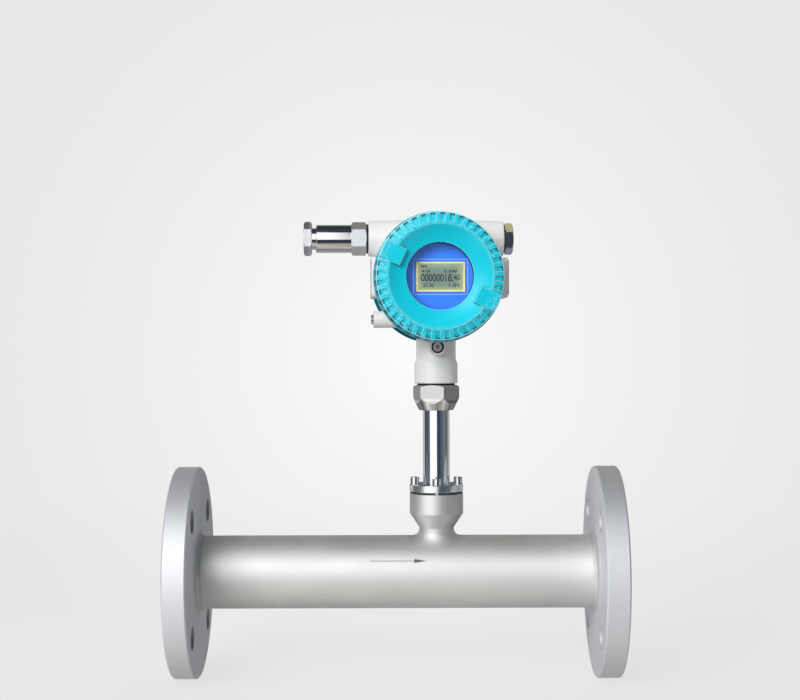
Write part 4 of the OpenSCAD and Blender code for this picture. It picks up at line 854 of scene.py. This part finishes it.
# Round the section: radius, height over the seat, and how far a cell drops and draws in, in mm
SECTION = [
    (40.00, 23.80, 0, 0), (40.02, 24.01, 0, 0), (41.02, 24.01, 0, 0), (41.60, 23.85, 0.5, 0),
    (42.60, 23.55, 0.85, 0), (44.00, 23.14, 1.0, 0), (45.40, 22.73, 1.0, 0),
    (46.40, 22.43, 1.15, 0), (47.30, 22.17, 1.25, 0), (47.60, 22.08, 1.25, 0),
    (47.80, 22.03, 0, 0), (48.25, 21.88, 0, 0), (48.50, 21.60, 0, 0), (48.60, 20.90, 0, 0),
    (48.63, 20.70, 0, 1.1), (49.10, 15.0, 0, 1.0), (49.80, 8.0, 0, 0.7),
    (50.16, 5.2, 0, 0.3), (50.24, 4.6, 0, 0), (50.24, 3.1, 0, 0), (49.80, 2.9, 0, 0),
    (48.50, 8.0, 0, 0.8), (46.80, 16.0, 0, 0.6), (45.00, 20.2, 0, 0), (41.00, 22.0, 0, 0),
]
for body, way in [("front_cover", 0), ("rear_cover", math.pi)]:
    seated = (
        head_place
        @ Matrix.Rotation(way, 4, "Z")
        @ Matrix.Translation((0, -cover_seat, 0))
        @ Matrix.Rotation(math.radians(90), 4, "X")
    )
    bpy.ops.mesh.primitive_torus_add(
        major_segments=TOOTH_COUNT * len(ACROSS), minor_segments=len(SECTION)
    )
    grip = bpy.context.object
    grip.name = body + "_grip"
    for number, corner in enumerate(grip.data.vertices):
        tooth, step = divmod(number // len(SECTION), len(ACROSS))
        middle_deg = PHASE_DEG + (tooth + 0.5) * 360 / TOOTH_COUNT
        aside_deg, share = ACROSS[step]
        out, up, drop, draw = SECTION[number % len(SECTION)]
        if abs(math.sin(math.radians(middle_deg))) < LUG_SIN:
            # A lug stands here: no cell, and the grip stays under its top
            share = 0
            up = min(up, LUG_UNDER_MM)
        turned = math.radians(LUG_DEG + middle_deg + aside_deg)
        out, up = (out - draw * share) / 1000, (up - drop * share) / 1000
        corner.co = (out * math.cos(turned), out * math.sin(turned), up)
    grip.data.transform(seated)
    bpy.ops.object.mode_set(mode="EDIT")
    bpy.ops.mesh.select_all(action="SELECT")
    bpy.ops.mesh.normals_make_consistent(inside=False)
    bpy.ops.object.mode_set(mode="OBJECT")
    bpy.ops.object.shade_smooth_by_angle(angle=math.radians(35))
    # The outer end of each wrench lug carries on over the grip
    for side in (0, math.pi):
        bpy.ops.mesh.primitive_cube_add(size=1)
        lug_end = bpy.context.object
        lug_end.name = f"{body}_lug_end_{2 if side else 1}"
        for corner in lug_end.data.vertices:
            inner, under = corner.co.x < 0, corner.co.z < 0
            out = LUG_IN if inner else LUG_FOOT_OUT if under else LUG_OUT
            aside = math.copysign(LUG_HALF, corner.co.y)
            corner.co = (out, aside, LUG_LOW if under else LUG_HIGH)
        bpy.ops.object.mode_set(mode="EDIT")
        bpy.ops.mesh.select_all(action="DESELECT")
        bpy.ops.object.mode_set(mode="OBJECT")
        # Only the upper outer edge is rounded
        for line in lug_end.data.edges:
            ends = [lug_end.data.vertices[index].co for index in line.vertices]
            line.select = all(end.x > 0.048 and end.z > 0.023 for end in ends)
        bpy.ops.object.mode_set(mode="EDIT")
        bpy.ops.mesh.select_mode(type="EDGE")
        bpy.ops.mesh.bevel(offset=LUG_ROUND, segments=3)
        bpy.ops.mesh.select_all(action="DESELECT")
        bpy.ops.mesh.select_mode(type="VERT")
        bpy.ops.object.mode_set(mode="OBJECT")
        lug_end.data.transform(seated @ Matrix.Rotation(math.radians(LUG_DEG) + side, 4, "Z"))
        lug_end.data.materials.append(cyan)
        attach(lug_end, body)
    grip.data.materials.append(cyan)
    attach(grip, body)
    bpy.ops.object.select_all(action="DESELECT")


# Window: a disc of clear toughened glass with a faint green edge, held from behind by a black
# anodised ring that is screwed into the cover. The pins of the side plate are as black.
glass, tree, where = new_finish("clear_toughened_glass")
wave = node(tree, "TexNoise", {"Vector": where, "Scale": 30.0, "Detail": 1.0})
flow = node(tree, "Bump", {"Strength": 0.02, "Distance": 0.0001, "Height": wave})
clear = node(
    tree,
    "BsdfPrincipled",
    {
        "Base Color": linear("#F4FBFA"), "Roughness": 0.02, "IOR": 1.45,
        "Transmission Weight": 1.0, "Normal": flow,
    },
)
lit_through = node(tree, "BsdfTransparent", {0: linear("#F4FBFA")})
lamp_ray = node(tree, "LightPath").outputs["Is Shadow Ray"]
node(tree, "OutputMaterial", {0: node(tree, "MixShader", {0: lamp_ray, 1: clear, 2: lit_through})})
dress(glass, "window_glass")

anodised, tree, where = new_finish("black_anodised_ring")
fine = node(tree, "TexNoise", {"Vector": where, "Scale": 900.0, "Detail": 3.0})
tone = node(
    tree, "Mix", {0: fine, 6: linear("#1B1B1E"), 7: linear("#2C2C30")}, data_type="RGBA"
).outputs[2]
shader = node(tree, "BsdfPrincipled", {"Base Color": tone, "Metallic": 0.6, "Roughness": 0.4})
node(tree, "OutputMaterial", {0: shader})
dress(anodised, "glass_retainer", "plate_rivets")


# Dial: a polycarbonate disc with a satin blue print. A thin pale line frames the display, and
# nothing else is printed on it.
print_blue, tree, where = new_finish("satin_blue_printed_dial")
ink = node(tree, "TexNoise", {"Vector": where, "Scale": 45.0, "Detail": 3.0})
satin = node(tree, "TexNoise", {"Vector": where, "Scale": 2200.0, "Detail": 1.0})
tone = node(
    tree, "Mix", {0: ink, 6: linear("#2070F4"), 7: linear("#2E80FE")}, data_type="RGBA"
).outputs[2]
film = node(tree, "Bump", {"Strength": 0.1, "Distance": 0.00004, "Height": satin})
shader = node(
    tree, "BsdfPrincipled",
    {"Base Color": tone, "Roughness": 0.5, "Normal": film, "Specular IOR Level": 0.15},
)
node(tree, "OutputMaterial", {0: shader})
dress(print_blue, "dial_plate")

PRINT_FORWARD = 0.03651
PANEL_RIGHT = 0.0012
LINE_WIDE, LINE_TALL = 0.0420, 0.0272
LINE_THICK, LINE_ROUND, LINE_PROUD = 0.00042, 0.0008, 0.00003


def onto_head(piece, forward):
    """Stands a flat piece up in front of the head and turns it with the head."""
    piece.matrix_world = (
        head_place
        @ Matrix.Translation((PANEL_RIGHT, -forward, 0))
        @ Matrix.Rotation(math.radians(90), 4, "X")
    )
    bpy.ops.object.select_all(action="DESELECT")
    piece.select_set(True)
    bpy.context.view_layer.objects.active = piece
    bpy.ops.object.transform_apply()


pale_ink, tree, where = new_finish("pale_blue_printed_line")
screen = node(tree, "TexNoise", {"Vector": where, "Scale": 3000.0, "Detail": 1.0})
tone = node(
    tree, "Mix", {0: screen, 6: linear("#86B0FF"), 7: linear("#A6C6FF")}, data_type="RGBA"
).outputs[2]
shader = node(tree, "BsdfPrincipled", {"Base Color": tone, "Roughness": 0.5})
node(tree, "OutputMaterial", {0: shader})
bpy.ops.mesh.primitive_plane_add(size=1)
line = bpy.context.object
line.name = "dial_frame_line"
line.scale = (LINE_WIDE, LINE_TALL, 1)
bpy.ops.object.transform_apply(scale=True)
bpy.ops.object.mode_set(mode="EDIT")
bpy.ops.mesh.select_all(action="SELECT")
bpy.ops.mesh.bevel(offset=LINE_ROUND, segments=3, affect="VERTICES")
bpy.ops.mesh.inset(thickness=LINE_THICK)
bpy.ops.mesh.delete(type="FACE")
bpy.ops.mesh.select_all(action="SELECT")
bpy.ops.mesh.extrude_region_move(TRANSFORM_OT_translate={"value": (0, 0, LINE_PROUD)})
bpy.ops.object.mode_set(mode="OBJECT")
onto_head(line, PRINT_FORWARD)
line.data.materials.append(pale_ink)
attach(line, "head")


# Display: a reflective liquid crystal panel, grey-green and darker in the middle, in a frame
# of cream ABS. Its digits are plain counts.
PANEL_HALF_WIDE, PANEL_HALF_TALL = 0.0174, 0.0101
ROW_FORWARD = 0.036802
ROW_THICK = 0.004
crystal, tree, where = new_finish("reflective_liquid_crystal")
in_head = node(
    tree,
    "Mapping",
    {
        0: where, 1: HEAD_AXIS, 2: (0, 0, HEAD_TURN),
        3: (PANEL_HALF_WIDE, 1.0, PANEL_HALF_TALL),
    },
    vector_type="TEXTURE",
)
from_middle = node(tree, "VectorMath", {0: in_head, 1: (0.06, 0, 0)}, operation="SUBTRACT")
parts = node(tree, "SeparateXYZ", {0: from_middle})
sideways = node(tree, "Math", {0: parts.outputs[0]}, operation="ABSOLUTE")
upwards = node(tree, "Math", {0: parts.outputs[2]}, operation="ABSOLUTE")
widest = node(tree, "Math", {0: sideways, 1: upwards}, operation="SMOOTH_MAX")
rim = node(tree, "MapRange", {0: widest, 1: 0.55, 2: 1.1}, interpolation_type="SMOOTHSTEP")
cells = node(tree, "TexNoise", {"Vector": where, "Scale": 260.0, "Detail": 3.0})
middle = node(
    tree, "Mix", {0: cells, 6: linear("#65736B"), 7: linear("#77837B")}, data_type="RGBA"
).outputs[2]
tone = node(tree, "Mix", {0: rim, 6: middle, 7: linear("#A2A47E")}, data_type="RGBA").outputs[2]
shader = node(
    tree, "BsdfPrincipled",
    {"Base Color": tone, "Roughness": 0.3, "Coat Weight": 0.1, "Coat Roughness": 0.1},
)
node(tree, "OutputMaterial", {0: shader})
dress(crystal, "lcd_panel")

cream, tree, where = new_finish("cream_abs_frame")
flow = node(tree, "TexNoise", {"Vector": where, "Scale": 200.0, "Detail": 3.0})
tone = node(
    tree, "Mix", {0: flow, 6: linear("#E3CD8A"), 7: linear("#F2DFA6")}, data_type="RGBA"
).outputs[2]
soft_edges = node(tree, "Bevel", {"Radius": 0.0002}, samples=4)
shader = node(
    tree, "BsdfPrincipled",
    {"Base Color": tone, "Roughness": 0.38, "Normal": soft_edges},
)
node(tree, "OutputMaterial", {0: shader})
dress(cream, "lcd_bezel")

segments, tree, where = new_finish("dark_crystal_segments")
cells = node(tree, "TexNoise", {"Vector": where, "Scale": 1500.0, "Detail": 1.0})
tone = node(
    tree, "Mix", {0: cells, 6: linear("#0C100C"), 7: linear("#1C201A")}, data_type="RGBA"
).outputs[2]
shader = node(tree, "BsdfPrincipled", {"Base Color": tone, "Roughness": 0.4})
node(tree, "OutputMaterial", {0: shader})
# Each row: name, digits, left end, right end, underside and top, in millimetres on the panel
for name, digits, left, right, low, high in [
    ("level_row", "000", -14.9, -10.4, 6.8, 8.9),
    ("rate_row", "4.0", -15.2, -8.0, 3.1, 5.2),
    ("rate_value_row", "0.308", 2.6, 12.4, 3.1, 5.2),
    ("total_row", "00000018.", -15.2, 9.6, -3.7, 2.3),
    ("total_rest_row", "462", 9.9, 14.9, -2.5, 1.9),
    ("warmth_row", "21.30", -13.6, -5.0, -7.9, -5.1),
    ("pressure_row", "1.01", 6.2, 14.2, -7.9, -5.1),
]:
    bpy.ops.object.text_add()
    row = bpy.context.object
    row.name = name
    row.data.body = digits
    row.data.extrude = ROW_THICK
    row.data.offset = 0.03
    bpy.ops.object.convert(target="MESH")
    row = bpy.context.object
    xs = [corner.co.x for corner in row.data.vertices]
    ys = [corner.co.y for corner in row.data.vertices]
    wide = (right - left) / 1000 / (max(xs) - min(xs))
    tall = (high - low) / 1000 / (max(ys) - min(ys))
    row.data.transform(
        Matrix.Translation((left / 1000, low / 1000, 0))
        @ Matrix.Diagonal((wide, tall, tall, 1))
        @ Matrix.Translation((-min(xs), -min(ys), ROW_THICK))
    )
    onto_head(row, ROW_FORWARD)
    row.data.materials.clear()
    row.data.materials.append(segments)
    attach(row, "head")


# Inside the head: green glass-epoxy boards on turned brass posts, black and grey nylon
# mouldings, and the lead with its silicone jacket.
board, tree, where = new_finish("green_glass_epoxy_board")
tracks = node(tree, "TexVoronoi", {"Vector": where, "Scale": 420.0}, distance="MANHATTAN")
copper = node(tree, "MapRange", {0: tracks, 1: 0.35, 2: 0.4})
tone = node(
    tree, "Mix", {0: copper, 6: linear("#1E6B3A"), 7: linear("#134A28")}, data_type="RGBA"
).outputs[2]
relief = node(tree, "Bump", {"Strength": 0.2, "Distance": 0.00005, "Height": copper})
shader = node(tree, "BsdfPrincipled", {"Base Color": tone, "Roughness": 0.35, "Normal": relief})
node(tree, "OutputMaterial", {0: shader})
dress(board, "main_board", "display_board")

for name, dark, light, metal, matt, fine, nodes in [
    ("turned_brass_post", "#B08D4A", "#CDAE6C", 1.0, 0.3, 900.0, ["board_posts"]),
    (
        "black_nylon_moulding", "#171718", "#242426", 0.0, 0.5, 700.0,
        ["board_header", "feedthrough"],
    ),
    ("grey_nylon_moulding", "#3A3C3E", "#4A4C4E", 0.0, 0.55, 700.0, ["terminal_block"]),
    ("black_silicone_jacket", "#1C1C1D", "#29292B", 0.0, 0.6, 1200.0, ["sensor_lead"]),
]:
    finish, tree, where = new_finish(name)
    grain = node(tree, "TexNoise", {"Vector": where, "Scale": fine, "Detail": 3.0})
    tone = node(
        tree, "Mix", {0: grain, 6: linear(dark), 7: linear(light)}, data_type="RGBA"
    ).outputs[2]
    relief = node(tree, "Bump", {"Strength": 0.2, "Distance": 0.00005, "Height": grain})
    shader = node(
        tree,
        "BsdfPrincipled",
        {"Base Color": tone, "Metallic": metal, "Roughness": matt, "Normal": relief},
    )
    node(tree, "OutputMaterial", {0: shader})
    dress(finish, *nodes)
